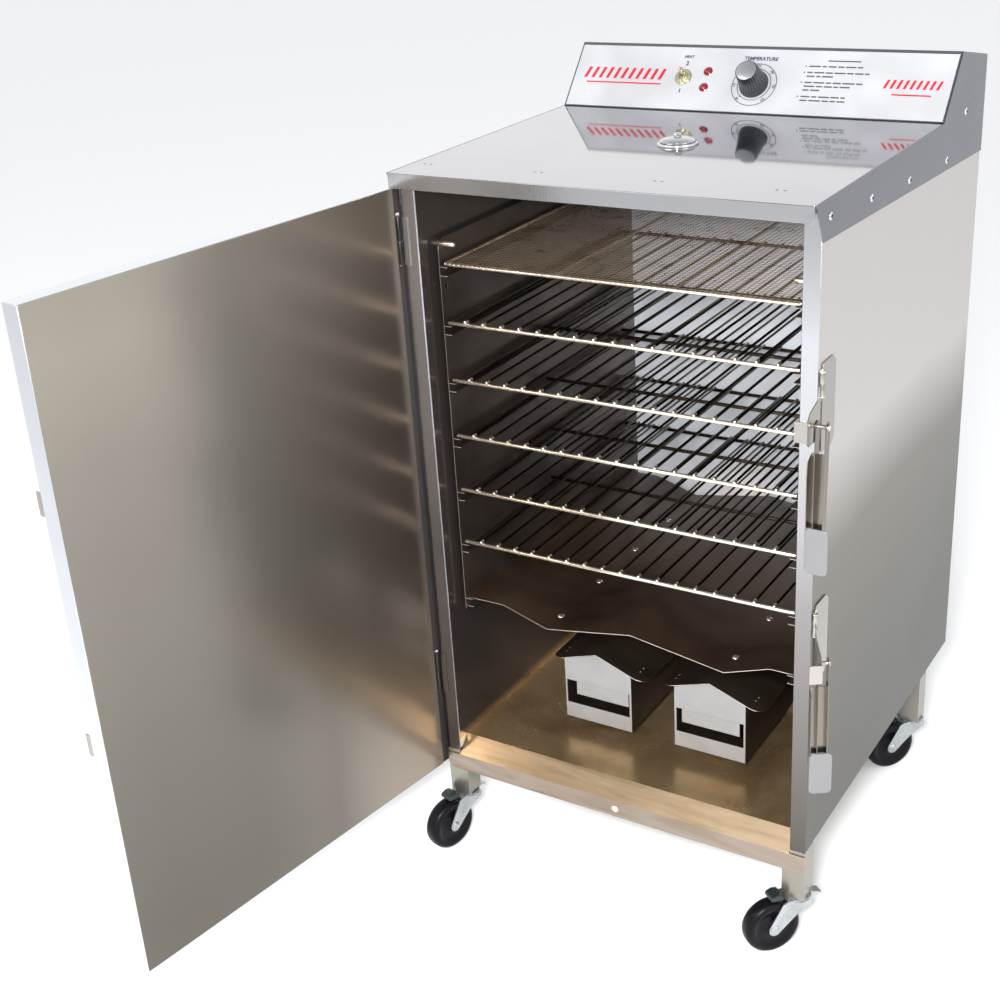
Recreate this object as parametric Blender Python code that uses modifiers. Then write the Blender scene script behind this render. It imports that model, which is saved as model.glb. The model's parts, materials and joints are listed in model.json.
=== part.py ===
"""Electric cabinet smoker: a stainless cabinet on four casters, with its door standing open.

Everything is in metres with +Z up. The cabinet's front faces -Y. Inside the script the cabinet has its own
frame: x = 0 on its centre line, y = 0 at the face of its front frame and z = 0 at DATUM above the floor. One
empty moves that frame, so that the world origin is on the floor under the middle of the whole object with its
door open.
"""

import math

import bmesh
import bpy
from mathutils import Matrix, Vector

# ---- Driving dimensions ----
DATUM = 0.009
WIDTH = 0.533
DEPTH = 0.585
BODY_BOTTOM = 0.143
BODY_TOP = 0.966
WALL = 0.020
SHEET = 0.0015
THIN_SHEET = 0.0012
GAP = 0.0003
HOLE_REACH = 0.006
HALF = WIDTH / 2

# Cavity and front frame
CAVITY_HALF = HALF - WALL
CAVITY_BACK = DEPTH - WALL
CAVITY_FLOOR = 0.1585
CAVITY_CEILING = 0.944
SIDE_TOP = BODY_TOP - SHEET - GAP
LIP_REACH = 0.022
LIP_DROP = 0.019

# Sloping sill under the opening, and its drip lip
SILL_DEPTH = 0.020
SILL_FOLD = 0.1372
SILL_BOTTOM = 0.112
SILL_CHAMFER = 0.008

# Legs and casters
LEG_SIDE = 0.030
LEG_WALL = 0.002
LEG_PLUG = 0.024
LEG_BOTTOM = 0.068
REAR_LEG_FRONT = 0.460
WHEEL_RADIUS = 0.0381
WHEEL_WIDTH = 0.024
WHEEL_SIDES = 24
WHEEL_SHOULDER = 0.003
AXLE_RADIUS = 0.004
CASTER_TRAIL = 0.037
FORK_SHEET = 0.002
FORK_HEAD_RADIUS = 0.018
FORK_HEAD_HEIGHT = 0.0025
STEM_RADIUS = 0.0055
STEM_LENGTH = 0.022
BRAKE_WIDTH = 0.013
BRAKE_LENGTH = 0.013
BRAKE_DROP = 0.004
# How far each caster's wheel is turned from straight ahead, towards -X
CASTER_TURN = {"front_left": 15, "front_right": 40, "rear_left": 35, "rear_right": 40}

# Side cheeks: a trim strip along the top, with the console's end cap
CHEEK_FRONT_BOTTOM = 0.922
CHEEK_BACK_BOTTOM = 0.897
SCREW_RADIUS = 0.0042
SCREW_HEAD = 0.0015
SCREW_CROWN = 0.0026
# Each cheek screw's place along the depth and its height
CHEEK_SCREWS = ((0.020, 0.946), (0.148, 0.935), (0.281, 0.925), (0.428, 0.917), (0.500, 0.964))

# Console on the back of the top
CONSOLE_FRONT = 0.410
CONSOLE_BROW = 0.475
CONSOLE_RISE = 0.076
FACE_LENGTH = math.hypot(CONSOLE_BROW - CONSOLE_FRONT, CONSOLE_RISE)
FACE_TILT = math.atan2(CONSOLE_RISE, CONSOLE_BROW - CONSOLE_FRONT)
PANEL_THICKNESS = 0.001
PANEL_SIDE_MARGIN = 0.0015
PANEL_FOOT_MARGIN = 0.001
PANEL_BROW_MARGIN = 0.0055
CONSOLE_FALL = 0.020
KNOB_X = 0.0055
KNOB_UP = 0.042
KNOB_BASE_RADIUS = 0.020
KNOB_CAP_RADIUS = 0.0135
KNOB_HEIGHT = 0.035
SHAFT_RADIUS = 0.003
SHAFT_REACH = 0.016
THERMOSTAT_HALF = 0.020
THERMOSTAT_RISE = 0.016
THERMOSTAT_DEPTH = 0.030
SWITCH_HALF = 0.009
SWITCH_RISE = 0.013
SWITCH_DEPTH = 0.024
TOGGLE_X = -0.0985
TOGGLE_UP = 0.049
BUSHING_RADIUS = 0.0072
BUSHING_REACH = 0.006
SOCKET_RADIUS = 0.005
NUT_RADIUS = 0.0108
NUT_HEIGHT = 0.0025
LEVER_REST = 12
LAMP_X = -0.065
LAMP_UP = {"upper": 0.059, "lower": 0.035}
LAMP_RADIUS = 0.0065
LAMP_STEM = 0.005
LAMP_DEPTH = 0.018
GLAND_X = 0.205
GLAND_Z = 0.992
GLAND_RADIUS = 0.009
GLAND_LENGTH = 0.008
GLAND_STEM = 0.006
GLAND_BORE = 0.0045
GLAND_DEPTH = 0.010

# Vent in the top
VENT_Y = 0.215
VENT_BORE = 0.0158
VENT_TUBE = 0.0172
VENT_FLANGE = 0.0260

# Door, in the frame of its hinge axis: x along its width, y through its thickness, closed
HINGE_X = -HALF - 0.004
HINGE_Y = -0.0035
DOOR_OPEN = 98.3
DOOR_START = 0.006
DOOR_WIDTH = 0.526
DOOR_INNER = 0.0011
DOOR_THICKNESS = 0.027
DOOR_BOTTOM = 0.120
DOOR_TOP = 0.944
KNUCKLE_RADIUS = 0.003
HINGE_PIN = 0.0016
HINGE_HEIGHTS = {"upper": 0.878, "lower": 0.267}
HINGE_HALF_LENGTH = 0.030
STRIKE_HALF = 0.014
STRIKE_REACH = 0.0076

# Latches, in the frame of their barrel's axis
BARREL_X = HALF + 0.0041
BARREL_Y = 0.0015
BARREL_RADIUS = 0.0035
BARREL_PIN = 0.0018
BARREL_HALF = 0.0145
BARREL_HEIGHTS = {"upper": 0.767, "lower": 0.470}
LINK_TURN = {"upper": 0, "lower": 33}
LINK_SHEET = 0.0012
CLAW_NEAR = 0.0410
CLAW_REACH = 0.0089
PIN_Y = -0.014
PIN_Z = -0.0435
LEVER_PIN = 0.0025
LEVER_NEAR = 0.0010
LEVER_FAR = 0.0136
LEVER_SHEET = 0.001
LEVER_LENGTH = 0.125
LEVER_FACE = -0.0085
PAD_LENGTH = 0.058

# Rack ladders, racks and baffle
RACK_TOP_LEVEL = 0.842
RACK_PITCH = 0.0765
WIRE_RACKS = 5
BAFFLE_LEVEL = 0.377
RACK_FRONT = 0.032
RACK_BACK = 0.500
RACK_HALF = 0.2335
RACK_HEIGHT = 0.004
ROD_WIDTH = 0.0055
WIRE_WIDTH = 0.0035
WIRES = 17
LADDER_FACE = 0.2375
LADDER_SHEET = 0.001
LADDER_FRONT = 0.030
LADDER_BACK = 0.510
LADDER_TOP = 0.874
LADDER_BOTTOM = 0.358
LADDER_CORNER = 0.014
LADDER_HOLE = 0.812
RAIL_REACH = 0.011
RAIL_HEIGHT = 0.012
PEG_RADIUS = 0.003
PEG_TIP = 0.222
PEG_HEIGHT = 0.866
MESH_CELLS = 7
BAFFLE_SHEET = 0.0015
BAFFLE_DIP = 0.021

# Wood boxes and the elements that they stand on
BOX_FRONT = 0.100
BOX_LENGTH = 0.200
BOX_HALF = 0.0515
BOX_BOTTOM = 0.178
BOX_EAVES = 0.098
BOX_RIDGE = 0.116
BOX_X = {"left": -0.076, "right": 0.092}
BOX_APEX = 0.005
WINDOW_LOW = 0.024
WINDOW_HIGH = 0.060
FLAP_DROP = 0.021
FLAP_SPAN = {"left": (-0.034, 0.047), "right": (-0.041, 0.043)}
LID_LEFT = 0.067
LID_RIGHT = 0.080
LID_OVERHANG = 0.012
LID_CORNER = 0.020
ELEMENT_RADIUS = 0.0033
ELEMENT_FRONT = 0.125
ELEMENT_HALF = 0.032
ELEMENT_SIDES_RESOLUTION = 1
FLANGE_HALF = 0.045
FLANGE_DROP = 0.009
FLANGE_RISE = 0.012

# The whole object's box, for the origin under its middle
SWING = math.radians(DOOR_OPEN)
DOOR_REACH_Y = HINGE_Y - (DOOR_START + DOOR_WIDTH) * math.sin(SWING)
DOOR_EDGE_X = (DOOR_START + DOOR_WIDTH) * math.cos(SWING)
STRIKE_X = (DOOR_THICKNESS - DOOR_INNER + STRIKE_REACH) * math.sin(SWING)
DOOR_REACH_X = HINGE_X + DOOR_EDGE_X - STRIKE_X
LOWER_LATCH_SWING = math.radians(LINK_TURN["lower"])
PAD_CORNER = (0.020, -PIN_Y - LEVER_FACE)
LATCH_REACH_X = (
    BARREL_X + PAD_CORNER[0] * math.cos(LOWER_LATCH_SWING) + PAD_CORNER[1] * math.sin(LOWER_LATCH_SWING)
)
CENTRE_X = (DOOR_REACH_X + LATCH_REACH_X) / 2
CENTRE_Y = (DOOR_REACH_Y + DEPTH + GLAND_LENGTH) / 2


# ---- Scene, materials and the basic shapes ----
def clear_scene():
    for thing in list(bpy.data.objects):
        bpy.data.objects.remove(thing, do_unlink=True)


def new_collection(name):
    collection = bpy.data.collections.new(name)
    bpy.context.scene.collection.children.link(collection)
    return collection


def new_material(name, colour, metallic, roughness):
    material = bpy.data.materials.new(name)
    material.use_nodes = True
    shader = material.node_tree.nodes["Principled BSDF"]
    shader.inputs["Base Color"].default_value = (*colour, 1)
    shader.inputs["Metallic"].default_value = metallic
    shader.inputs["Roughness"].default_value = roughness
    material.diffuse_color = (*colour, 1)
    return material


clear_scene()
PARTS = new_collection("electric_cabinet_smoker")
CUTTERS = new_collection("cutters")

BRUSHED = new_material("brushed_stainless", (0.56, 0.55, 0.52), 1.0, 0.32)
BRIGHT = new_material("bright_stainless", (0.72, 0.72, 0.71), 1.0, 0.12)
SMOKED = new_material("smoked_stainless", (0.30, 0.23, 0.15), 1.0, 0.38)
ZINC = new_material("zinc_plate", (0.70, 0.71, 0.72), 1.0, 0.28)
CHROME = new_material("chromed_wire", (0.62, 0.58, 0.52), 1.0, 0.22)
RUBBER = new_material("black_wheel", (0.012, 0.012, 0.014), 0.0, 0.42)
WOOL = new_material("mineral_wool", (0.62, 0.58, 0.42), 0.0, 0.95)
WHITE = new_material("white_panel", (0.86, 0.86, 0.86), 0.0, 0.35)
BRASS = new_material("brass", (0.66, 0.52, 0.24), 1.0, 0.25)
BLACK = new_material("black_moulding", (0.02, 0.02, 0.02), 0.0, 0.35)
RED = new_material("red_lens", (0.30, 0.01, 0.02), 0.0, 0.12)


def empty(name, parent, location=(0, 0, 0), rotation=(0, 0, 0)):
    point = bpy.data.objects.new(name, None)
    PARTS.objects.link(point)
    point.parent = parent
    point.location = location
    point.rotation_euler = rotation
    return point


def place(name, mesh, material, parent):
    piece = bpy.data.objects.new(name, mesh)
    PARTS.objects.link(piece)
    piece.parent = parent
    mesh.materials.clear()
    mesh.materials.append(material)
    mesh.shade_smooth()
    mesh.set_sharp_from_angle(angle=math.radians(35))
    return piece


def mesh_from(shape, name):
    bmesh.ops.recalc_face_normals(shape, faces=shape.faces)
    mesh = bpy.data.meshes.new(name)
    shape.to_mesh(mesh)
    shape.free()
    return mesh


def box(name, low, high, material, parent):
    low, high = Vector(low), Vector(high)
    size = Matrix.Diagonal((*(high - low), 1))
    shape = bmesh.new()
    bmesh.ops.create_cube(shape, size=1, matrix=Matrix.Translation((low + high) / 2) @ size)
    return place(name, mesh_from(shape, name), material, parent)


def open_box(name, low, high, open_side, thickness, material, parent):
    """A folded box of one sheet, without its face on the side that open_side points to."""
    piece = box(name, low, high, material, parent)
    shape = bmesh.new()
    shape.from_mesh(piece.data)
    facing = [face for face in shape.faces if face.normal.dot(Vector(open_side)) > 0.9]
    bmesh.ops.delete(shape, geom=facing, context="FACES")
    shape.to_mesh(piece.data)
    shape.free()
    solid = piece.modifiers.new("Sheet", "SOLIDIFY")
    solid.thickness = thickness
    solid.offset = -1
    solid.use_even_offset = True
    return piece


def rod(name, start, end, radius, sides, material, parent, end_radius=None):
    start, end = Vector(start), Vector(end)
    along = end - start
    turn = along.to_track_quat("Z", "Y").to_matrix().to_4x4()
    shape = bmesh.new()
    bmesh.ops.create_cone(
        shape,
        cap_ends=True,
        segments=sides,
        radius1=radius,
        radius2=radius if end_radius is None else end_radius,
        depth=along.length,
        matrix=Matrix.Translation((start + end) / 2) @ turn,
    )
    return place(name, mesh_from(shape, name), material, parent)


# Where an outline's two coordinates and its thickness point, for each plane
PLANES = {
    "XY": Matrix(((1, 0, 0), (0, 1, 0), (0, 0, 1))),
    "YZ": Matrix(((0, 0, 1), (1, 0, 0), (0, 1, 0))),
    "XZ": Matrix(((1, 0, 0), (0, 0, -1), (0, 1, 0))),
}


def sheet_from_outline(outline, thickness):
    """One outline without holes, extruded to both sides of its plane."""
    shape = bmesh.new()
    low = [shape.verts.new((across, up, -thickness / 2)) for across, up in outline]
    high = [shape.verts.new((across, up, thickness / 2)) for across, up in outline]
    shape.faces.new(low)
    shape.faces.new(high)
    for i in range(len(outline)):
        shape.faces.new((low[i - 1], low[i], high[i], high[i - 1]))
    return shape


def mesh_of_curve(name, curve):
    guide = bpy.data.objects.new(name + "_guide", curve)
    CUTTERS.objects.link(guide)
    graph = bpy.context.evaluated_depsgraph_get()
    mesh = bpy.data.meshes.new_from_object(guide.evaluated_get(graph))
    bpy.data.objects.remove(guide, do_unlink=True)
    shape = bmesh.new()
    shape.from_mesh(mesh)
    bmesh.ops.remove_doubles(shape, verts=shape.verts, dist=1e-6)
    return shape


def sheet_with_holes(name, outlines, thickness):
    curve = bpy.data.curves.new(name, "CURVE")
    curve.dimensions = "2D"
    curve.fill_mode = "BOTH"
    curve.extrude = thickness / 2
    for outline in outlines:
        spline = curve.splines.new("POLY")
        spline.points.add(len(outline) - 1)
        for point, (across, up) in zip(spline.points, outline):
            point.co = (across, up, 0, 1)
        spline.use_cyclic_u = True
    return mesh_of_curve(name, curve)


def plate(name, outlines, plane, low, high, material, parent):
    """A flat outline, and any holes after it, extruded from low to high across its plane."""
    if len(outlines) == 1:
        shape = sheet_from_outline(outlines[0], high - low)
    else:
        shape = sheet_with_holes(name, outlines, high - low)
    turn = PLANES[plane]
    middle = turn @ Vector((0, 0, 1)) * ((low + high) / 2)
    if plane == "XZ":
        middle = -middle
    bmesh.ops.transform(shape, matrix=Matrix.Translation(middle) @ turn.to_4x4(), verts=shape.verts)
    return place(name, mesh_from(shape, name), material, parent)


def turned(name, profile, sides, material, parent, location=(0, 0, 0), rotation=(0, 0, 0), closed=False):
    """A profile of (radius, height) points spun about the local Z axis."""
    shape = bmesh.new()
    points = [shape.verts.new((radius, 0, height)) for radius, height in profile]
    for first, second in zip(points, points[1:]):
        shape.edges.new((first, second))
    if closed:
        shape.edges.new((points[-1], points[0]))
    mesh = bpy.data.meshes.new(name)
    shape.to_mesh(mesh)
    shape.free()
    piece = place(name, mesh, material, parent)
    piece.location = location
    piece.rotation_euler = rotation
    spin = piece.modifiers.new("Turn", "SCREW")
    spin.steps = spin.render_steps = sides
    spin.use_merge_vertices = True
    spin.merge_threshold = 1e-5
    return piece


def combine(piece, other, operation):
    """Joins other to piece, or cuts it away. The other object stays in the scene as a hidden helper."""
    if PARTS.objects.get(other.name):
        PARTS.objects.unlink(other)
        CUTTERS.objects.link(other)
    other.hide_render = True
    other.display_type = "WIRE"
    step = piece.modifiers.new(other.name, "BOOLEAN")
    step.operation = operation
    step.object = other
    step.solver = "EXACT"


def fuse(piece, *others):
    for other in others:
        combine(piece, other, "UNION")


def cut(piece, *others):
    for other in others:
        combine(piece, other, "DIFFERENCE")


def mirrored(points):
    return [(-x, z) for x, z in reversed(points)]


def folded(points, thickness):
    """The outline of a folded sheet whose outer line is points, with its thickness on the line's right."""
    inner = []
    for i, point in enumerate(points):
        point = Vector(point)
        sides = []
        if i > 0:
            sides.append((point - Vector(points[i - 1])).normalized())
        if i < len(points) - 1:
            sides.append((Vector(points[i + 1]) - point).normalized())
        normals = [Vector((side.y, -side.x)) for side in sides]
        middle = sum(normals, Vector((0, 0))).normalized()
        inner.append(tuple(point + middle * thickness / middle.dot(normals[0])))
    return list(points) + inner[::-1]


def rounded(corners, radius, steps=3):
    """The outline with each corner made an arc of the given radius."""
    outline = []
    for i, corner in enumerate(corners):
        corner = Vector(corner)
        before = (Vector(corners[i - 1]) - corner).normalized()
        after = (Vector(corners[(i + 1) % len(corners)]) - corner).normalized()
        half_angle = before.angle(after) / 2
        centre = corner + (before + after).normalized() * radius / math.sin(half_angle)
        start = corner + before * radius / math.tan(half_angle) - centre
        end = corner + after * radius / math.tan(half_angle) - centre
        for step in range(steps + 1):
            outline.append(tuple(centre + start.lerp(end, step / steps).normalized() * radius))
    return outline


def arc(centre, radius, start, end, steps=5):
    """Points on a circle, from one angle to another in degrees."""
    points = []
    for step in range(steps + 1):
        angle = math.radians(start + (end - start) * step / steps)
        points.append((centre[0] + radius * math.cos(angle), centre[1] + radius * math.sin(angle)))
    return points


def rectangle(low, high):
    return [(low[0], low[1]), (high[0], low[1]), (high[0], high[1]), (low[0], high[1])]


# ---- Cabinet ----
def build_cabinet(body):
    inner_x = HALF - SHEET
    shell_plan = [
        (-HALF, SHEET + GAP),
        (-inner_x, SHEET + GAP),
        (-inner_x, DEPTH - SHEET),
        (inner_x, DEPTH - SHEET),
        (inner_x, SHEET + GAP),
        (HALF, SHEET + GAP),
        (HALF, DEPTH),
        (-HALF, DEPTH),
    ]
    plate("outer_shell", [shell_plan], "XY", BODY_BOTTOM, SIDE_TOP, BRUSHED, body)

    # An arch of two side strips and a head strip. The sill closes its foot.
    arch = [
        (-HALF, BODY_BOTTOM),
        (-CAVITY_HALF, BODY_BOTTOM),
        (-CAVITY_HALF, CAVITY_CEILING),
        (CAVITY_HALF, CAVITY_CEILING),
        (CAVITY_HALF, BODY_BOTTOM),
        (HALF, BODY_BOTTOM),
        (HALF, SIDE_TOP),
        (-HALF, SIDE_TOP),
    ]
    plate("front_frame", [arch], "XZ", 0, SHEET, BRIGHT, body)

    liner = open_box(
        "inner_liner",
        (-CAVITY_HALF - THIN_SHEET, SHEET + GAP, CAVITY_FLOOR - THIN_SHEET),
        (CAVITY_HALF + THIN_SHEET, CAVITY_BACK + THIN_SHEET, CAVITY_CEILING + THIN_SHEET),
        (0, -1, 0),
        THIN_SHEET,
        SMOKED,
        body,
    )
    for side in (-1, 1):
        for y in (LADDER_FRONT + 0.012, LADDER_BACK - 0.040):
            peg = rod(
                f"ladder_peg_{side}_{y:.2f}",
                (side * (CAVITY_HALF + THIN_SHEET / 2), y, PEG_HEIGHT),
                (side * PEG_TIP, y, PEG_HEIGHT),
                PEG_RADIUS,
                10,
                SMOKED,
                body,
            )
            fuse(liner, peg)

    jacket_half = HALF - SHEET - GAP
    hollow_half = CAVITY_HALF + THIN_SHEET + GAP
    jacket = box(
        "insulation_jacket",
        (-jacket_half, SHEET + GAP, BODY_BOTTOM + GAP + SHEET),
        (jacket_half, DEPTH - SHEET - GAP, SIDE_TOP - GAP),
        WOOL,
        body,
    )
    hollow = box(
        "jacket_hollow",
        (-hollow_half, -WALL, CAVITY_FLOOR - THIN_SHEET - GAP),
        (hollow_half, CAVITY_BACK + THIN_SHEET + GAP, CAVITY_CEILING + THIN_SHEET + GAP),
        WOOL,
        body,
    )
    cut(jacket, hollow)
    sill_room = box(
        "sill_room",
        (-hollow_half, -WALL, BODY_BOTTOM - WALL),
        (hollow_half, SILL_DEPTH + 2 * GAP, CAVITY_FLOOR + THIN_SHEET),
        WOOL,
        body,
    )
    cut(jacket, sill_room)
    cut(liner, sill_room)

    cover_line = [(-LIP_REACH, BODY_TOP - LIP_DROP), (-LIP_REACH, BODY_TOP), (DEPTH, BODY_TOP)]
    cover = plate("top_cover", [folded(cover_line, SHEET)], "YZ", -HALF, HALF, BRIGHT, body)
    vent_hole = rod(
        "vent_hole",
        (0, VENT_Y, CAVITY_CEILING - WALL),
        (0, VENT_Y, BODY_TOP + WALL),
        VENT_TUBE + GAP,
        24,
        BRIGHT,
        body,
    )
    for layer in (cover, jacket, liner):
        cut(layer, vent_hole)


def build_sill(body):
    front = -SHEET - GAP
    lip_outline = [
        (-HALF + SILL_CHAMFER, SILL_BOTTOM),
        (HALF - SILL_CHAMFER, SILL_BOTTOM),
        (HALF, SILL_BOTTOM + SILL_CHAMFER),
        (HALF, SILL_FOLD),
        (-HALF, SILL_FOLD),
        (-HALF, SILL_BOTTOM + SILL_CHAMFER),
    ]
    sill = plate("drip_sill", [lip_outline], "XZ", front, -GAP, SMOKED, body)
    slope_line = [(front, SILL_FOLD - SHEET), (front, SILL_FOLD), (SILL_DEPTH, CAVITY_FLOOR + SHEET + GAP)]
    slope_half = CAVITY_HALF - GAP
    slope = plate(
        "sill_slope", [folded(slope_line[1:], SHEET)], "YZ", -slope_half, slope_half, SMOKED, body
    )
    fuse(sill, slope)


def build_base(body):
    top = BODY_BOTTOM + SHEET / 3
    base = box(
        "base_with_legs",
        (-HALF + SHEET + GAP, SHEET * 8, top - SHEET),
        (HALF - SHEET - GAP, DEPTH - SHEET - GAP, top),
        BRUSHED,
        body,
    )
    for side in (-1, 1):
        for y in (0, REAR_LEG_FRONT):
            centre = Vector((side * (HALF - LEG_SIDE / 2), y + LEG_SIDE / 2, 0))
            half = Vector((LEG_SIDE / 2, LEG_SIDE / 2, 0))
            room = Vector((LEG_SIDE / 2 - LEG_WALL, LEG_SIDE / 2 - LEG_WALL, 0))
            leg = box(
                f"leg_{side}_{y:.2f}",
                centre - half + Vector((0, 0, LEG_BOTTOM)),
                centre + half + Vector((0, 0, BODY_BOTTOM - GAP)),
                BRUSHED,
                body,
            )
            fuse(base, leg)
            tube = box(
                f"leg_room_{side}_{y:.2f}",
                centre - room + Vector((0, 0, LEG_BOTTOM + LEG_PLUG)),
                centre + room + Vector((0, 0, BODY_BOTTOM + LEG_WALL)),
                BRUSHED,
                body,
            )
            bore = rod(
                f"leg_bore_{side}_{y:.2f}",
                centre + Vector((0, 0, LEG_BOTTOM - LEG_WALL)),
                centre + Vector((0, 0, LEG_BOTTOM + LEG_PLUG + LEG_WALL)),
                STEM_RADIUS + GAP,
                12,
                BRUSHED,
                body,
            )
            cut(base, tube, bore)
    room_half = CAVITY_HALF + GAP
    fold_room = SILL_FOLD - SHEET - 2 * GAP
    sill_room = box(
        "base_sill_room",
        (-room_half, -WALL, fold_room),
        (room_half, SILL_DEPTH + 2 * GAP, BODY_BOTTOM + WALL),
        BRUSHED,
        body,
    )
    cut(base, sill_room)


def build_cheeks(body):
    outline = [
        (-LIP_REACH, BODY_TOP),
        (0.001, CHEEK_FRONT_BOTTOM),
        (DEPTH, CHEEK_BACK_BOTTOM),
        (DEPTH, BODY_TOP + CONSOLE_RISE - CONSOLE_FALL),
        (CONSOLE_BROW, BODY_TOP + CONSOLE_RISE),
        (CONSOLE_FRONT, BODY_TOP),
    ]
    for name, side in (("left", -1), ("right", 1)):
        near, far = HALF + GAP, HALF + GAP + THIN_SHEET
        low, high = sorted((side * near, side * far))
        cheek = plate(f"cheek_{name}", [outline], "YZ", low, high, BRUSHED, body)
        for i, (y, z) in enumerate(CHEEK_SCREWS):
            start, end = side * (near + THIN_SHEET / 2), side * (far + SCREW_HEAD)
            ends = ((start, y, z), (end, y, z))
            head = rod(
                f"cheek_screw_{name}_{i}", *ends, SCREW_RADIUS, 8, BRIGHT, body, SCREW_CROWN
            )
            fuse(cheek, head)
        if side < 0:
            swing_room = box(
                "door_swing_room",
                (-HALF - WALL, -WALL - LIP_REACH, DOOR_BOTTOM),
                (-HALF + WALL, GAP, DOOR_TOP + 3 * GAP),
                BRUSHED,
                body,
            )
            cut(cheek, swing_room)


# ---- Console ----
def build_console(body):
    foot = BODY_TOP + GAP
    brow = BODY_TOP + CONSOLE_RISE
    flange = (CONSOLE_FRONT + 0.012, foot)
    line = [flange, (CONSOLE_FRONT, foot), (CONSOLE_BROW, brow), (DEPTH, brow - CONSOLE_FALL), (DEPTH, foot)]
    housing = plate("console_housing", [folded(line, THIN_SHEET)], "YZ", -HALF, HALF, BRUSHED, body)
    face = empty("console_face", body, (0, CONSOLE_FRONT, foot), (FACE_TILT, 0, 0))
    panel_half = HALF - PANEL_SIDE_MARGIN
    panel_top = FACE_LENGTH - PANEL_BROW_MARGIN
    panel = plate(
        "control_panel",
        [rectangle((-panel_half, PANEL_FOOT_MARGIN), (panel_half, panel_top))],
        "XY",
        GAP,
        GAP + PANEL_THICKNESS,
        WHITE,
        face,
    )
    outside = GAP + PANEL_THICKNESS

    holes = [
        ("shaft", KNOB_X, KNOB_UP, SHAFT_RADIUS),
        ("bushing", TOGGLE_X, TOGGLE_UP, BUSHING_RADIUS),
    ]
    holes += [(f"lamp_{which}", LAMP_X, up, LAMP_STEM) for which, up in LAMP_UP.items()]
    for name, x, up, radius in holes:
        ends = ((x, up, -HOLE_REACH), (x, up, HOLE_REACH))
        hole = rod(f"{name}_hole", *ends, radius + GAP, 16, BLACK, face)
        cut(housing, hole)
        cut(panel, hole)

    thermostat = box(
        "thermostat_body",
        (KNOB_X - THERMOSTAT_HALF, KNOB_UP - THERMOSTAT_RISE, -THERMOSTAT_DEPTH),
        (KNOB_X + THERMOSTAT_HALF, KNOB_UP + THERMOSTAT_RISE, -THIN_SHEET - GAP),
        BLACK,
        face,
    )
    ends = ((KNOB_X, KNOB_UP, -HOLE_REACH), (KNOB_X, KNOB_UP, outside + SHAFT_REACH))
    shaft = rod("shaft", *ends, SHAFT_RADIUS, 12, BLACK, face)
    fuse(thermostat, shaft)
    knob_profile = [
        (0, KNOB_HEIGHT),
        (KNOB_CAP_RADIUS, KNOB_HEIGHT),
        (KNOB_CAP_RADIUS + 0.001, KNOB_HEIGHT - 0.001),
        (KNOB_BASE_RADIUS - 0.002, 0.004),
        (KNOB_BASE_RADIUS, 0.003),
        (KNOB_BASE_RADIUS, 0),
        (0, 0),
    ]
    knob = turned(
        "thermostat_knob", knob_profile, 24, BLACK, face, (KNOB_X, KNOB_UP, outside + 2 * GAP)
    )
    ends = ((KNOB_X, KNOB_UP, 0), (KNOB_X, KNOB_UP, outside + SHAFT_REACH + 2 * GAP))
    bore = rod("knob_bore", *ends, SHAFT_RADIUS + GAP, 12, BLACK, face)
    cut(knob, bore)

    switch = box(
        "toggle_switch_body",
        (TOGGLE_X - SWITCH_HALF, TOGGLE_UP - SWITCH_RISE, -SWITCH_DEPTH),
        (TOGGLE_X + SWITCH_HALF, TOGGLE_UP + SWITCH_RISE, -THIN_SHEET - GAP),
        BLACK,
        face,
    )
    bushing_top = outside + BUSHING_REACH
    centre = (TOGGLE_X, TOGGLE_UP)
    ends = ((*centre, -HOLE_REACH), (*centre, bushing_top))
    bushing = rod("bushing", *ends, BUSHING_RADIUS, 16, BRASS, face)
    ends = ((*centre, outside + GAP), (*centre, outside + GAP + NUT_HEIGHT))
    nut = rod("nut", *ends, NUT_RADIUS, 6, BRASS, face)
    ends = ((*centre, outside), (*centre, bushing_top + GAP))
    socket = rod("bushing_socket", *ends, SOCKET_RADIUS, 16, BRASS, face)
    fuse(switch, bushing, nut)
    cut(switch, socket)
    pivot = (TOGGLE_X, TOGGLE_UP, outside + BUSHING_REACH / 2)
    lever_profile = [
        (0, 0.0165),
        (0.0019, 0.0162),
        (0.0030, 0.0148),
        (0.0030, 0.0132),
        (0.0017, 0.0012),
        (0.0022, 0.0),
        (0.0017, -0.0016),
        (0, -0.0020),
    ]
    rest = (math.radians(-LEVER_REST), 0, 0)
    turned("toggle_lever", lever_profile, 12, BRASS, face, pivot, rest)

    for which, up in LAMP_UP.items():
        profile = [
            (0, outside + 0.0042),
            (0.0032, outside + 0.0036),
            (LAMP_RADIUS - 0.0008, outside + 0.0016),
            (LAMP_RADIUS, outside + GAP),
            (LAMP_STEM, outside + GAP),
            (LAMP_STEM, -LAMP_DEPTH),
            (0, -LAMP_DEPTH),
        ]
        turned(f"indicator_lamp_{which}", profile, 16, RED, face, (LAMP_X, up, 0))

    gland_profile = [
        (GLAND_BORE, GLAND_LENGTH),
        (GLAND_RADIUS - 0.002, GLAND_LENGTH),
        (GLAND_RADIUS, GLAND_LENGTH - 0.002),
        (GLAND_RADIUS, GAP),
        (GLAND_STEM, GAP),
        (GLAND_STEM, -GLAND_DEPTH),
        (GLAND_BORE, -GLAND_DEPTH),
    ]
    turned(
        "cord_gland",
        gland_profile,
        16,
        BLACK,
        body,
        (GLAND_X, DEPTH, GLAND_Z),
        (math.radians(-90), 0, 0),
        closed=True,
    )
    ends = ((GLAND_X, DEPTH - WALL, GLAND_Z), (GLAND_X, DEPTH + WALL, GLAND_Z))
    cut(housing, rod("gland_hole", *ends, GLAND_STEM + GAP, 16, BLACK, body))


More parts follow.
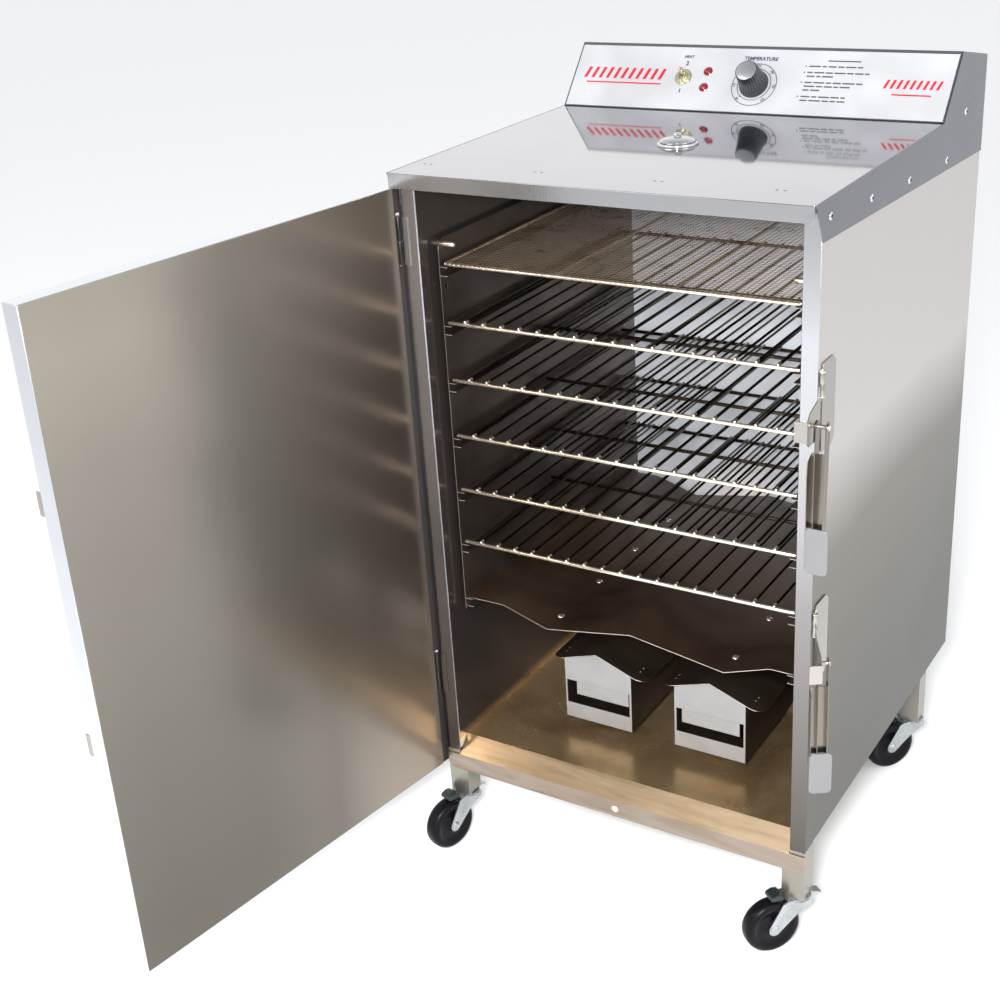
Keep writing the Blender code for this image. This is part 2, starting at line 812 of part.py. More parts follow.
def build_vent(body):
    seat = BODY_TOP + GAP
    collar = [
        (VENT_BORE, seat + 0.003),
        (VENT_FLANGE - 0.001, seat + 0.003),
        (VENT_FLANGE, seat + 0.002),
        (VENT_FLANGE, seat),
        (VENT_TUBE, seat),
        (VENT_TUBE, CAVITY_CEILING),
        (VENT_BORE, CAVITY_CEILING),
    ]
    turned("vent_collar", collar, 24, BRIGHT, body, (0, VENT_Y, 0), closed=True)
    top = seat + 0.003 + GAP
    cap = [
        (0, 0.0105),
        (0.0042, 0.0098),
        (0.0052, 0.0080),
        (0.0052, 0.0062),
        (0.0120, 0.0055),
        (0.0205, 0.0030),
        (0.0225, 0.0012),
        (0.0225, 0),
        (VENT_BORE - 0.0006, 0),
        (VENT_BORE - 0.0010, -0.006),
        (0, -0.006),
    ]
    turned("vent_cap", cap, 24, BRIGHT, body, (0, VENT_Y, top))


# ---- Door, hinges and strikes ----
def build_door(body):
    axis = empty("door_axis", body, (HINGE_X, HINGE_Y, 0), (0, 0, -SWING))
    near, far = DOOR_START, DOOR_START + DOOR_WIDTH
    outer = DOOR_INNER - DOOR_THICKNESS
    rim = DOOR_INNER - THIN_SHEET - GAP
    open_box(
        "door_pan", (near, outer, DOOR_BOTTOM), (far, rim, DOOR_TOP), (0, 1, 0), THIN_SHEET, BRUSHED, axis
    )
    box("door_inner_panel", (near, rim + GAP, DOOR_BOTTOM), (far, DOOR_INNER, DOOR_TOP), BRUSHED, axis)
    inset = THIN_SHEET + GAP
    box(
        "door_insulation",
        (near + inset, outer + inset, DOOR_BOTTOM + inset),
        (far - inset, rim, DOOR_TOP - inset),
        WOOL,
        axis,
    )

    for name, height in HINGE_HEIGHTS.items():
        low, high = height - HINGE_HALF_LENGTH, height + HINGE_HALF_LENGTH
        frame_leaf = box(
            f"hinge_{name}_frame_leaf",
            (HINGE_X + 0.0015, -GAP - THIN_SHEET, low),
            (HINGE_X + 0.0125, -GAP, high),
            BRIGHT,
            body,
        )
        knuckle = rod(
            f"frame_knuckle_{name}",
            (HINGE_X, HINGE_Y, low),
            (HINGE_X, HINGE_Y, height - GAP),
            KNUCKLE_RADIUS,
            12,
            BRIGHT,
            body,
        )
        clearance = box(
            f"frame_leaf_notch_{name}",
            (HINGE_X - 0.005, -0.005, height - GAP),
            (HINGE_X + 0.0035, 0.001, high + GAP),
            BRIGHT,
            body,
        )
        pin = rod(
            f"hinge_pin_{name}",
            (HINGE_X, HINGE_Y, low + GAP),
            (HINGE_X, HINGE_Y, high + 0.002),
            HINGE_PIN,
            12,
            BRIGHT,
            body,
        )
        cut(frame_leaf, clearance)
        fuse(frame_leaf, knuckle, pin)

        leaf_outer = DOOR_START - GAP
        leaf_inner = leaf_outer - THIN_SHEET
        door_leaf = box(
            f"hinge_{name}_door_leaf", (leaf_inner, -0.022, low), (leaf_outer, -0.0018, high), BRIGHT, axis
        )
        bridge = box(
            f"door_bridge_{name}", (0, -0.0030, height + GAP), (leaf_outer, -0.0018, high), BRIGHT, axis
        )
        tube = rod(
            f"door_knuckle_{name}", (0, 0, height + GAP), (0, 0, high), KNUCKLE_RADIUS, 12, BRIGHT, axis
        )
        bore = rod(
            f"door_knuckle_bore_{name}",
            (0, 0, height - WALL),
            (0, 0, high + WALL),
            HINGE_PIN + GAP,
            12,
            BRIGHT,
            axis,
        )
        fuse(door_leaf, bridge, tube)
        cut(door_leaf, bore)

    for name, barrel in BARREL_HEIGHTS.items():
        middle = barrel - 0.042
        face = outer - GAP
        strike = box(
            f"strike_{name}",
            (far - 0.026, face - THIN_SHEET, middle - STRIKE_HALF),
            (far, face, middle + STRIKE_HALF),
            BRIGHT,
            axis,
        )
        edge = box(
            f"strike_edge_{name}",
            (far - 0.0015, face - STRIKE_REACH, middle - STRIKE_HALF),
            (far, face - THIN_SHEET / 2, middle + STRIKE_HALF),
            BRIGHT,
            axis,
        )
        fuse(strike, edge)


# ---- Latches ----
def build_latch(name, body):
    barrel = BARREL_HEIGHTS[name]
    leaf_low, leaf_high = HALF + GAP, HALF + GAP + SHEET
    leaf_outline = [
        (0.014, barrel - 0.085),
        (0.042, barrel - 0.085),
        (0.050, barrel - 0.077),
        (0.050, barrel + 0.012),
        (0.042, barrel + 0.020),
        (0.010, barrel + 0.020),
        (0.010, barrel + BARREL_HALF),
        (BARREL_Y, barrel + BARREL_HALF),
        (BARREL_Y, barrel + GAP),
        (0.010, barrel + GAP),
        (0.010, barrel - 0.081),
    ]
    base = plate(f"latch_{name}_base", [leaf_outline], "YZ", leaf_low, leaf_high, BRIGHT, body)
    centre = (BARREL_X, BARREL_Y)
    sleeve = rod(
        f"latch_sleeve_{name}",
        (*centre, barrel + GAP),
        (*centre, barrel + BARREL_HALF),
        BARREL_RADIUS,
        12,
        BRIGHT,
        body,
    )
    pin = rod(
        f"latch_barrel_pin_{name}",
        (*centre, barrel - BARREL_HALF - 0.001),
        (*centre, barrel + BARREL_HALF - 0.001),
        BARREL_PIN,
        10,
        BRIGHT,
        body,
    )
    fuse(base, sleeve, pin)

    turn = math.radians(LINK_TURN[name])
    axis = empty(f"latch_{name}_axis", body, (*centre, barrel), (0, 0, turn))
    half = LINK_SHEET / 2
    link_outline = [
        (-0.0010, -0.0002),
        (-0.0010, -BARREL_HALF),
        (-0.0040, -0.020),
        (-0.0040, -0.055),
        (-0.0090, -0.060),
        (-0.0360, -0.060),
        (-0.0425, -0.054),
        (-0.0425, -0.030),
        (-0.0340, -0.022),
        (-0.0120, -0.0145),
        (-0.0080, -0.0002),
    ]
    link = plate(f"latch_{name}_link", [link_outline[::-1]], "YZ", -half, half, BRIGHT, axis)
    tube = rod(f"link_tube_{name}", (0, 0, -BARREL_HALF), (0, 0, 0), BARREL_RADIUS, 12, BRIGHT, axis)
    claw = box(
        f"link_claw_{name}",
        (-CLAW_REACH, -CLAW_NEAR - SHEET, -0.054),
        (half, -CLAW_NEAR, -0.030),
        BRIGHT,
        axis,
    )
    stud = rod(
        f"link_stud_{name}", (0, PIN_Y, PIN_Z), (LEVER_FAR + 0.001, PIN_Y, PIN_Z), LEVER_PIN, 12, BRIGHT, axis
    )
    stud_head = rod(
        f"link_stud_head_{name}",
        (LEVER_FAR + GAP, PIN_Y, PIN_Z),
        (LEVER_FAR + 0.0018, PIN_Y, PIN_Z),
        LEVER_PIN + 0.0015,
        12,
        BRIGHT,
        axis,
    )
    bore = rod(f"link_bore_{name}", (0, 0, -0.03), (0, 0, 0.01), BARREL_PIN + GAP, 10, BRIGHT, axis)
    fuse(link, tube, claw, stud, stud_head)
    cut(link, bore)

    pivot = empty(f"latch_{name}_pivot", axis, (0, PIN_Y, PIN_Z))
    flange = [(-0.0085, -0.003), (-0.0060, 0.0050), (0, 0.0080), (0.0060, 0.0050), (0.0080, -0.003)]
    flange += [(0.0045, -0.050), (0.0010, -LEVER_LENGTH), (LEVER_FACE, -LEVER_LENGTH)]
    lever = plate(
        f"latch_{name}_lever", [flange], "YZ", LEVER_NEAR, LEVER_NEAR + LEVER_SHEET, BRIGHT, pivot
    )
    far_flange = plate(
        f"lever_far_flange_{name}", [flange], "YZ", LEVER_FAR - LEVER_SHEET, LEVER_FAR, BRIGHT, pivot
    )
    web = box(
        f"lever_web_{name}",
        (LEVER_NEAR, LEVER_FACE, -LEVER_LENGTH),
        (LEVER_FAR, LEVER_FACE + LEVER_SHEET, -0.020),
        BRIGHT,
        pivot,
    )
    pad_low, pad_high = -0.0074, PAD_CORNER[0]
    pad_top = 0.005 - LEVER_LENGTH
    pad_outline = rounded(rectangle((pad_low, pad_top - PAD_LENGTH), (pad_high, pad_top)), 0.006)
    pad = plate(
        f"lever_pad_{name}", [pad_outline], "XZ", LEVER_FACE, LEVER_FACE + SHEET, BRIGHT, pivot
    )
    hole = rod(f"lever_hole_{name}", (-0.001, 0, 0), (0.02, 0, 0), LEVER_PIN + GAP, 12, BRIGHT, pivot)
    fuse(lever, far_flange, web, pad)
    cut(lever, hole)


# ---- Inside the cavity ----
def rack_levels():
    return [RACK_TOP_LEVEL - RACK_PITCH * i for i in range(1 + WIRE_RACKS)]


def build_ladder(name, side, body):
    """A sheet with a channel rail folded out for each rack and for the baffle."""
    face, back = -LADDER_FACE, -LADDER_FACE - LADDER_SHEET
    tip = face + RAIL_REACH
    outline = [(back, LADDER_BOTTOM), (back, LADDER_TOP), (face, LADDER_TOP)]
    for level in [*rack_levels(), BAFFLE_LEVEL - BAFFLE_SHEET + RACK_HEIGHT / 2]:
        top = level - RACK_HEIGHT / 2 - GAP
        for flange_top in (top, top - RAIL_HEIGHT + LADDER_SHEET):
            outline += [
                (face, flange_top),
                (tip, flange_top),
                (tip, flange_top - LADDER_SHEET),
                (face, flange_top - LADDER_SHEET),
            ]
    outline.append((face, LADDER_BOTTOM))
    if side > 0:
        outline = mirrored(outline)
    ladder = plate(f"rack_ladder_{name}", [outline], "XZ", LADDER_FRONT, LADDER_BACK, SMOKED, body)
    for y in (LADDER_FRONT + 0.012, LADDER_BACK - 0.040):
        ends = [(side * (CAVITY_HALF - 0.003), y, PEG_HEIGHT), (side * (PEG_TIP + 0.005), y, PEG_HEIGHT)]
        hole = rod(f"peg_hole_{name}_{y:.2f}", *ends, PEG_RADIUS + 0.001, 10, SMOKED, body)
        cut(ladder, hole)
    across = sorted((side * (CAVITY_HALF - 0.003), side * (PEG_TIP + 0.002)))
    corner = [
        (LADDER_FRONT - 0.01, LADDER_TOP + 0.01),
        (LADDER_FRONT - 0.01, LADDER_TOP - LADDER_CORNER),
        *arc((LADDER_FRONT + LADDER_CORNER, LADDER_TOP - LADDER_CORNER), LADDER_CORNER, 180, 90),
        (LADDER_FRONT + LADDER_CORNER, LADDER_TOP + 0.01),
    ]
    cut(ladder, plate(f"ladder_corner_{name}", [corner], "YZ", *across, SMOKED, body))
    ends = [(x, LADDER_FRONT + 0.012, LADDER_HOLE) for x in across]
    cut(ladder, rod(f"ladder_hole_{name}", *ends, PEG_RADIUS, 10, SMOKED, body))


def build_wire_rack(name, level, parent):
    first = RACK_HALF - RACK_HALF * 2 / (WIRES + 1)
    edge = first + WIRE_WIDTH / 2
    front, back = RACK_FRONT, RACK_BACK
    inner_front, inner_back = front + ROD_WIDTH, back - ROD_WIDTH
    outline = [
        (-RACK_HALF, front),
        (RACK_HALF, front),
        (RACK_HALF, inner_front),
        (edge, inner_front),
        (edge, inner_back),
        (RACK_HALF, inner_back),
        (RACK_HALF, back),
        (-RACK_HALF, back),
        (-RACK_HALF, inner_back),
        (-edge, inner_back),
        (-edge, inner_front),
        (-RACK_HALF, inner_front),
    ]
    slots = []
    pitch = 2 * first / (WIRES - 1)
    for i in range(WIRES - 1):
        low = -first + i * pitch + WIRE_WIDTH / 2
        slots.append(rectangle((low, inner_front), (low + pitch - WIRE_WIDTH, inner_back)))
    half = RACK_HEIGHT / 2
    plate(name, [outline, *slots], "XY", level - half, level + half, CHROME, parent)


def build_mesh_rack(parent):
    outline = rectangle((-RACK_HALF, RACK_FRONT), (RACK_HALF, RACK_BACK))
    cells = []
    across = (2 * RACK_HALF - ROD_WIDTH) / MESH_CELLS
    deep = (RACK_BACK - RACK_FRONT - ROD_WIDTH) / MESH_CELLS
    for i in range(MESH_CELLS):
        for j in range(MESH_CELLS):
            low = (-RACK_HALF + ROD_WIDTH + i * across, RACK_FRONT + ROD_WIDTH + j * deep)
            cells.append(rectangle(low, (low[0] + across - ROD_WIDTH, low[1] + deep - ROD_WIDTH)))
    half = RACK_HEIGHT / 2
    low, high = RACK_TOP_LEVEL - half, RACK_TOP_LEVEL + half
    plate("mesh_rack", [outline, *cells], "XY", low, high, CHROME, parent)


def build_baffle(parent):
    valley = BAFFLE_LEVEL - BAFFLE_DIP
    line = [
        (-RACK_HALF, BAFFLE_LEVEL),
        (-0.178, BAFFLE_LEVEL),
        (-0.112, valley),
        (0.012, BAFFLE_LEVEL),
        (0.142, valley),
        (0.203, BAFFLE_LEVEL),
        (RACK_HALF, BAFFLE_LEVEL),
    ]
    plate("drip_baffle", [folded(line, BAFFLE_SHEET)], "XZ", RACK_FRONT, RACK_BACK, SMOKED, parent)


def build_wood_box(name, body):
    """A gabled tray with a window in its front, and a loose gabled lid."""
    corner = empty(f"wood_box_{name}_place", body, (BOX_X[name], BOX_FRONT, BOX_BOTTOM))
    gable = [
        (-BOX_HALF, 0),
        (BOX_HALF, 0),
        (BOX_HALF, BOX_EAVES),
        (BOX_APEX, BOX_RIDGE),
        (-BOX_HALF, BOX_EAVES),
    ]
    box_piece = plate(f"wood_box_{name}", [gable], "XZ", 0, BOX_LENGTH, SMOKED, corner)
    inside = BOX_HALF - SHEET
    hollow_outline = [
        (-inside, SHEET),
        (inside, SHEET),
        (inside, BOX_RIDGE + WALL),
        (-inside, BOX_RIDGE + WALL),
    ]
    hollow = plate(
        f"box_hollow_{name}", [hollow_outline], "XZ", SHEET, BOX_LENGTH - SHEET, SMOKED, corner
    )
    window_half = BOX_HALF - 2 * SHEET
    window = box(
        f"box_window_{name}",
        (-window_half, -SHEET, WINDOW_LOW),
        (window_half, SHEET + GAP, WINDOW_HIGH),
        SMOKED,
        corner,
    )
    flap_low, flap_high = FLAP_SPAN[name]
    flap = box(
        f"box_flap_{name}",
        (flap_low, SHEET / 2, WINDOW_HIGH - FLAP_DROP),
        (flap_high, 2 * SHEET, WINDOW_HIGH + 0.006),
        SMOKED,
        corner,
    )
    cut(box_piece, hollow, window)
    fuse(box_piece, flap)

    lift = SHEET + 3 * GAP
    ridge = BOX_RIDGE + lift
    fall_left = (BOX_RIDGE - BOX_EAVES) / (BOX_HALF + BOX_APEX)
    fall_right = (BOX_RIDGE - BOX_EAVES) / (BOX_HALF - BOX_APEX)
    left_edge = ridge - fall_left * (LID_LEFT + BOX_APEX)
    right_edge = ridge - fall_right * (LID_RIGHT - BOX_APEX)
    line = [(-LID_LEFT, left_edge), (BOX_APEX, ridge), (LID_RIGHT, right_edge)]
    lid = plate(
        f"wood_box_lid_{name}",
        [folded(line, SHEET)],
        "XZ",
        -LID_OVERHANG,
        BOX_LENGTH + LID_OVERHANG,
        SMOKED,
        corner,
    )
    plan = rounded(
        rectangle((-LID_LEFT, -LID_OVERHANG), (LID_RIGHT, BOX_LENGTH + LID_OVERHANG)), LID_CORNER, 5
    )
    trim = plate(f"lid_plan_{name}", [plan], "XY", right_edge - WALL, ridge + WALL, SMOKED, corner)
    combine(lid, trim, "INTERSECT")


def build_element(name, body):
    """A tubular heater bent to a hairpin, with the flange that holds it to the back wall."""
    x = BOX_X[name]
    z = BOX_BOTTOM - GAP - ELEMENT_RADIUS
    back = CAVITY_BACK - GAP
    bend = ELEMENT_FRONT + ELEMENT_HALF
    route = [(x - ELEMENT_HALF, back - 0.001)]
    for step in range(9):
        angle = math.pi + math.pi * step / 8
        route.append((x + ELEMENT_HALF * math.cos(angle), bend + ELEMENT_HALF * math.sin(angle)))
    route.append((x + ELEMENT_HALF, back - 0.001))
    curve = bpy.data.curves.new(f"heating_element_{name}", "CURVE")
    curve.dimensions = "3D"
    curve.bevel_depth = ELEMENT_RADIUS
    curve.bevel_resolution = ELEMENT_SIDES_RESOLUTION
    curve.use_fill_caps = True
    spline = curve.splines.new("POLY")
    spline.points.add(len(route) - 1)
    for point, (along, deep) in zip(spline.points, route):
        point.co = (along, deep, z, 1)
    shape = mesh_of_curve(name, curve)
    element = place(f"heating_element_{name}", mesh_from(shape, f"heating_element_{name}"), SMOKED, body)
    flange = box(
        f"element_flange_{name}",
        (x - FLANGE_HALF, back - SHEET, z - FLANGE_DROP),
        (x + FLANGE_HALF, back, z + FLANGE_RISE),
        SMOKED,
        body,
    )
    fuse(element, flange)


# ---- Casters ----
def build_caster(name, body):
    side = -1 if "left" in name else 1
    front = 0 if "front" in name else REAR_LEG_FRONT
    centre = (side * (HALF - LEG_SIDE / 2), front + LEG_SIDE / 2)
    swivel = empty(f"caster_{name}_swivel", body, (*centre, 0), (0, 0, -math.radians(CASTER_TURN[name])))
    facet = math.pi / WHEEL_SIDES
    axle = WHEEL_RADIUS * math.cos(facet) - DATUM
    head_top = LEG_BOTTOM - GAP
    head_bottom = head_top - FORK_HEAD_HEIGHT
    fork = rod(
        f"caster_{name}_fork", (0, 0, head_bottom), (0, 0, head_top), FORK_HEAD_RADIUS, 20, ZINC, swivel
    )
    stem = rod(
        f"fork_stem_{name}",
        (0, 0, head_bottom + GAP),
        (0, 0, head_top + STEM_LENGTH),
        STEM_RADIUS,
        12,
        ZINC,
        swivel,
    )
    # Side plate in (y, z): y runs back from the wheel, which trails towards -Y
    side_plate = [
        (0.012, head_top - GAP),
        (-0.020, head_top - GAP),
        (-0.026, head_bottom - GAP),
        (-CASTER_TRAIL - 0.0080, axle + 0.004),
        (-CASTER_TRAIL - 0.0088, axle),
        (-CASTER_TRAIL - 0.0075, axle - 0.005),
        (-CASTER_TRAIL - 0.0035, axle - 0.0082),
        (-CASTER_TRAIL + 0.0025, axle - 0.0085),
        (-0.006, head_bottom - 0.020),
        (0.014, head_bottom - 0.009),
        (0.0155, head_bottom - 0.004),
    ]
    inner = WHEEL_WIDTH / 2 + 2 * GAP
    plates = []
    for which, low in (("left", -inner - FORK_SHEET), ("right", inner)):
        plates.append(
            plate(f"fork_{which}_{name}", [side_plate], "YZ", low, low + FORK_SHEET, ZINC, swivel)
        )
    reach = inner + FORK_SHEET + 0.003
    bolt = rod(
        f"fork_axle_{name}",
        (-reach, -CASTER_TRAIL, axle),
        (reach, -CASTER_TRAIL, axle),
        AXLE_RADIUS,
        12,
        ZINC,
        swivel,
    )
    fuse(fork, stem, *plates, bolt)

    half = WHEEL_WIDTH / 2
    bore = AXLE_RADIUS + GAP
    shoulder = WHEEL_RADIUS - WHEEL_SHOULDER
    profile = [
        (WHEEL_RADIUS, half - WHEEL_SHOULDER),
        (WHEEL_RADIUS, WHEEL_SHOULDER - half),
        (shoulder, -half),
        (bore, -half),
        (bore, half),
        (shoulder, half),
    ]
    # The wheel's axis lies along X, and a flat facet of the tread lies on the floor
    wheel = turned(
        f"caster_{name}_wheel", profile, WHEEL_SIDES, RUBBER, swivel, (0, -CASTER_TRAIL, axle), closed=True
    )
    wheel.rotation_euler = (Matrix.Rotation(math.pi / 2, 3, "Y") @ Matrix.Rotation(facet, 3, "Z")).to_euler()

    if "front" in name:
        tab_top = head_bottom + 0.002
        tab = empty(f"caster_{name}_brake_pivot", swivel, (0, FORK_HEAD_RADIUS + 0.001, tab_top))
        outline = [
            (0, 0),
            (BRAKE_LENGTH, -BRAKE_DROP),
            (BRAKE_LENGTH, -BRAKE_DROP - SHEET),
            (0, -SHEET),
        ]
        plate(f"caster_{name}_brake", [outline], "YZ", -BRAKE_WIDTH / 2, BRAKE_WIDTH / 2, ZINC, tab)


def main():
    body = empty("smoker", None, (-CENTRE_X, -CENTRE_Y, DATUM))
    build_cabinet(body)
    build_sill(body)
    build_base(body)
    build_cheeks(body)
    build_console(body)
    build_vent(body)
    build_door(body)
    for name in BARREL_HEIGHTS:
        build_latch(name, body)
    build_ladder("left", -1, body)
    build_ladder("right", 1, body)
    build_mesh_rack(body)
    for number, level in enumerate(rack_levels()[1:], 1):
        build_wire_rack(f"wire_rack_{number}", level, body)
    build_baffle(body)
    for name in BOX_X:
        build_wood_box(name, body)
        build_element(name, body)
    for name in CASTER_TURN:
        build_caster(name, body)


main()
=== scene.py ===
"""The electric cabinet smoker's looks: camera, studio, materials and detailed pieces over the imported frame.

Lengths are in metres. In the cabinet frame, x = 0 lies on the cabinet's centre line, y = 0 at the face of its
front frame and z = 0 at DATUM above the floor. at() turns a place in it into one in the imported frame.
"""

import json
import math

import bmesh
import bpy
from mathutils import Matrix, Vector


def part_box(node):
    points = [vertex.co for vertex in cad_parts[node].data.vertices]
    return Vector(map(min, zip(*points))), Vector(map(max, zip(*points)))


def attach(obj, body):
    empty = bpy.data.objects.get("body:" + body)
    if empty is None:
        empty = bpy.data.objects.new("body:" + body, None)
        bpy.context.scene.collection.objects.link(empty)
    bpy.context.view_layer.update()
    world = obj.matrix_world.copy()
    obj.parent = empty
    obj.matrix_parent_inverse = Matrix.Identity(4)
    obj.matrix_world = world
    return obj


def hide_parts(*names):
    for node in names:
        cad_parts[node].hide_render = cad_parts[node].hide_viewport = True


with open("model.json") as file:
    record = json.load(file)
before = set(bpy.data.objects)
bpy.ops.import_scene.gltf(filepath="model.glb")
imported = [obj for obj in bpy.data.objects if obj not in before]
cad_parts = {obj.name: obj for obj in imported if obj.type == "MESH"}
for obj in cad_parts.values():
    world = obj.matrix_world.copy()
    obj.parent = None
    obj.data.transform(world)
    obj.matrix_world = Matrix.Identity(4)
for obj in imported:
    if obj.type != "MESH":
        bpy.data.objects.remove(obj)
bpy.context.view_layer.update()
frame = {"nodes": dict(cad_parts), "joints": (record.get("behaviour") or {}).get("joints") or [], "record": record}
NODES = frame["nodes"]
JOINTS = {joint["name"]: joint for joint in frame["joints"]}
BODIES = frame["record"]["behaviour"]["bodies"]
BODY_OF = {node: body for body, nodes in BODIES.items() for node in nodes}

FRAME_LOW, FRAME_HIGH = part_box("front_frame")
DATUM = 0.009
ORIGIN = Vector(((FRAME_LOW.x + FRAME_HIGH.x) / 2, FRAME_LOW.y, DATUM))


def at(x, y, z):
    return ORIGIN + Vector((x, y, z))


def link(thing):
    bpy.context.scene.collection.objects.link(thing)


# ---- Camera, floor and light ----
LENS_MM = 54.93
SENSOR_MM = 36
CAMERA_PLACE = at(0.8137, -1.480, 1.3567)
CAMERA_PAN, CAMERA_TILT, CAMERA_ROLL = 0.578, 1.1428, -0.0662
FLOOR_RADIUS = 30
# The background's (height, colour) stops, from the horizon up, and its strength
SKY = (
    (0.0, (0.78, 0.78, 0.78)),
    (0.22, (1, 1, 1)),
    (0.62, (0.66, 0.67, 0.69)),
    (1.0, (0.40, 0.41, 0.43)),
)
SKY_STRENGTH = 1.4


def make_camera():
    data = bpy.data.cameras.new("camera")
    data.lens = LENS_MM
    data.sensor_width = SENSOR_MM
    data.clip_start = 0.01
    data.clip_end = 100
    camera = bpy.data.objects.new("camera", data)
    link(camera)
    pan, roll = (Matrix.Rotation(angle, 4, "Z") for angle in (CAMERA_PAN, CAMERA_ROLL))
    turn = pan @ Matrix.Rotation(CAMERA_TILT, 4, "X") @ roll
    camera.matrix_world = Matrix.Translation(CAMERA_PLACE) @ turn
    bpy.context.scene.camera = camera


def fill_ramp(ramp, stops):
    """Gives a colour ramp node its (position, colour) stops."""
    elements = ramp.color_ramp.elements
    while len(elements) < len(stops):
        elements.new(0.5)
    for element, (position, colour) in zip(elements, stops):
        element.position = position
        element.color = (*colour, 1)


def area_light(name, place, target, width, height, power):
    data = bpy.data.lights.new(name, "AREA")
    data.shape = "RECTANGLE"
    data.size = width
    data.size_y = height
    data.energy = power
    light = bpy.data.objects.new(name, data)
    link(light)
    light.location = place
    light.rotation_euler = (Vector(target) - Vector(place)).to_track_quat("-Z", "Y").to_euler()


def make_studio():
    world = bpy.data.worlds.new("studio")
    world.use_nodes = True
    tree = world.node_tree
    background = tree.nodes["Background"]
    coordinates = tree.nodes.new("ShaderNodeTexCoord")
    split = tree.nodes.new("ShaderNodeSeparateXYZ")
    ramp = tree.nodes.new("ShaderNodeValToRGB")
    tree.links.new(coordinates.outputs["Generated"], split.inputs[0])
    tree.links.new(split.outputs["Z"], ramp.inputs[0])
    tree.links.new(ramp.outputs[0], background.inputs["Color"])
    fill_ramp(ramp, SKY)
    background.inputs["Strength"].default_value = SKY_STRENGTH
    bpy.context.scene.world = world
    bpy.context.scene.view_settings.view_transform = "Standard"

    shape = bmesh.new()
    bmesh.ops.create_circle(shape, cap_ends=True, segments=64, radius=FLOOR_RADIUS)
    mesh = bpy.data.meshes.new("floor")
    shape.to_mesh(mesh)
    shape.free()
    floor = bpy.data.objects.new("floor", mesh)
    link(floor)
    material = bpy.data.materials.new("pale_floor")
    material.use_nodes = True
    shader = material.node_tree.nodes["Principled BSDF"]
    shader.inputs["Base Color"].default_value = (0.96, 0.96, 0.96, 1)
    shader.inputs["Roughness"].default_value = 0.9
    mesh.materials.append(material)

    area_light("key", (-1.6, -2.6, 3.0), (0, 0, 0.5), 2.4, 1.6, 35)
    area_light("fill", (3.2, -1.0, 2.4), (0, 0, 0.5), 2.0, 2.0, 20)
    area_light("flash", at(0.70, -1.60, 1.44), at(0, 0.25, 0.45), 0.28, 0.20, 60)


make_camera()
make_studio()


# ---- Materials ----
class Shader:
    """A material under construction: a Principled shader and short calls for the nodes that feed it."""

    def __init__(self, name, colour, metallic=0.0, roughness=0.5):
        self.material = bpy.data.materials.new(name)
        self.material.use_nodes = True
        self.tree = self.material.node_tree
        self.shader = self.tree.nodes["Principled BSDF"]
        self.set("Base Color", (*colour, 1))
        self.set("Metallic", metallic)
        self.set("Roughness", roughness)

    def set(self, socket, value):
        if isinstance(value, bpy.types.NodeSocket):
            self.tree.links.new(value, self.shader.inputs[socket])
        else:
            self.shader.inputs[socket].default_value = value

    def node(self, kind, *inputs, **settings):
        node = self.tree.nodes.new(kind)
        for key, value in settings.items():
            setattr(node, key, value)
        for index, value in enumerate(inputs):
            if isinstance(value, bpy.types.NodeSocket):
                self.tree.links.new(value, node.inputs[index])
            elif value is not None:
                node.inputs[index].default_value = value
        return node

    def place(self):
        return self.node("ShaderNodeTexCoord").outputs["Object"]

    def noise(self, stretch=(1, 1, 1), scale=1.0, detail=3.0, roughness=0.5, distortion=0.0):
        mapping = self.node("ShaderNodeMapping", self.place())
        mapping.inputs["Scale"].default_value = stretch
        noise = self.node("ShaderNodeTexNoise", mapping.outputs[0])
        noise.inputs["Scale"].default_value = scale
        noise.inputs["Detail"].default_value = detail
        noise.inputs["Roughness"].default_value = roughness
        noise.inputs["Distortion"].default_value = distortion
        return noise.outputs[0]

    def remap(self, value, low, high, start=0.0, end=1.0):
        node = self.node("ShaderNodeMapRange", value, start, end, low, high)
        return node.outputs[0]

    def math(self, operation, first, second=None):
        return self.node("ShaderNodeMath", first, second, operation=operation).outputs[0]

    def ramp(self, value, *stops):
        node = self.node("ShaderNodeValToRGB", value)
        fill_ramp(node, stops)
        return node.outputs[0]

    def along(self, axis):
        return self.node("ShaderNodeSeparateXYZ", self.place()).outputs[axis]

    def facing(self, axis):
        normal = self.node("ShaderNodeNewGeometry").outputs["Normal"]
        return self.node("ShaderNodeSeparateXYZ", normal).outputs[axis]

    def mix(self, factor, first, second):
        node = self.tree.nodes.new("ShaderNodeMix")
        node.data_type = "RGBA"
        for index, value in ((0, factor), (6, first), (7, second)):
            socket = node.inputs[index]
            if isinstance(value, bpy.types.NodeSocket):
                self.tree.links.new(value, socket)
            elif isinstance(value, tuple):
                socket.default_value = (*value, 1)
            else:
                socket.default_value = value
        return node.outputs[2]

    def scale(self, colour, factor):
        node = self.tree.nodes.new("ShaderNodeVectorMath")
        node.operation = "SCALE"
        self.tree.links.new(colour, node.inputs[0])
        self.tree.links.new(factor, node.inputs[3])
        return node.outputs[0]

    def curve(self, value, *stops):
        """A number that follows value through the (value, number) stops."""
        return self.ramp(value, *((place, (number, number, number)) for place, number in stops))

    def bump(self, height, strength, distance=0.001):
        node = self.node("ShaderNodeBump")
        node.inputs["Strength"].default_value = strength
        node.inputs["Distance"].default_value = distance
        self.tree.links.new(height, node.inputs["Height"])
        self.set("Normal", node.outputs[0])


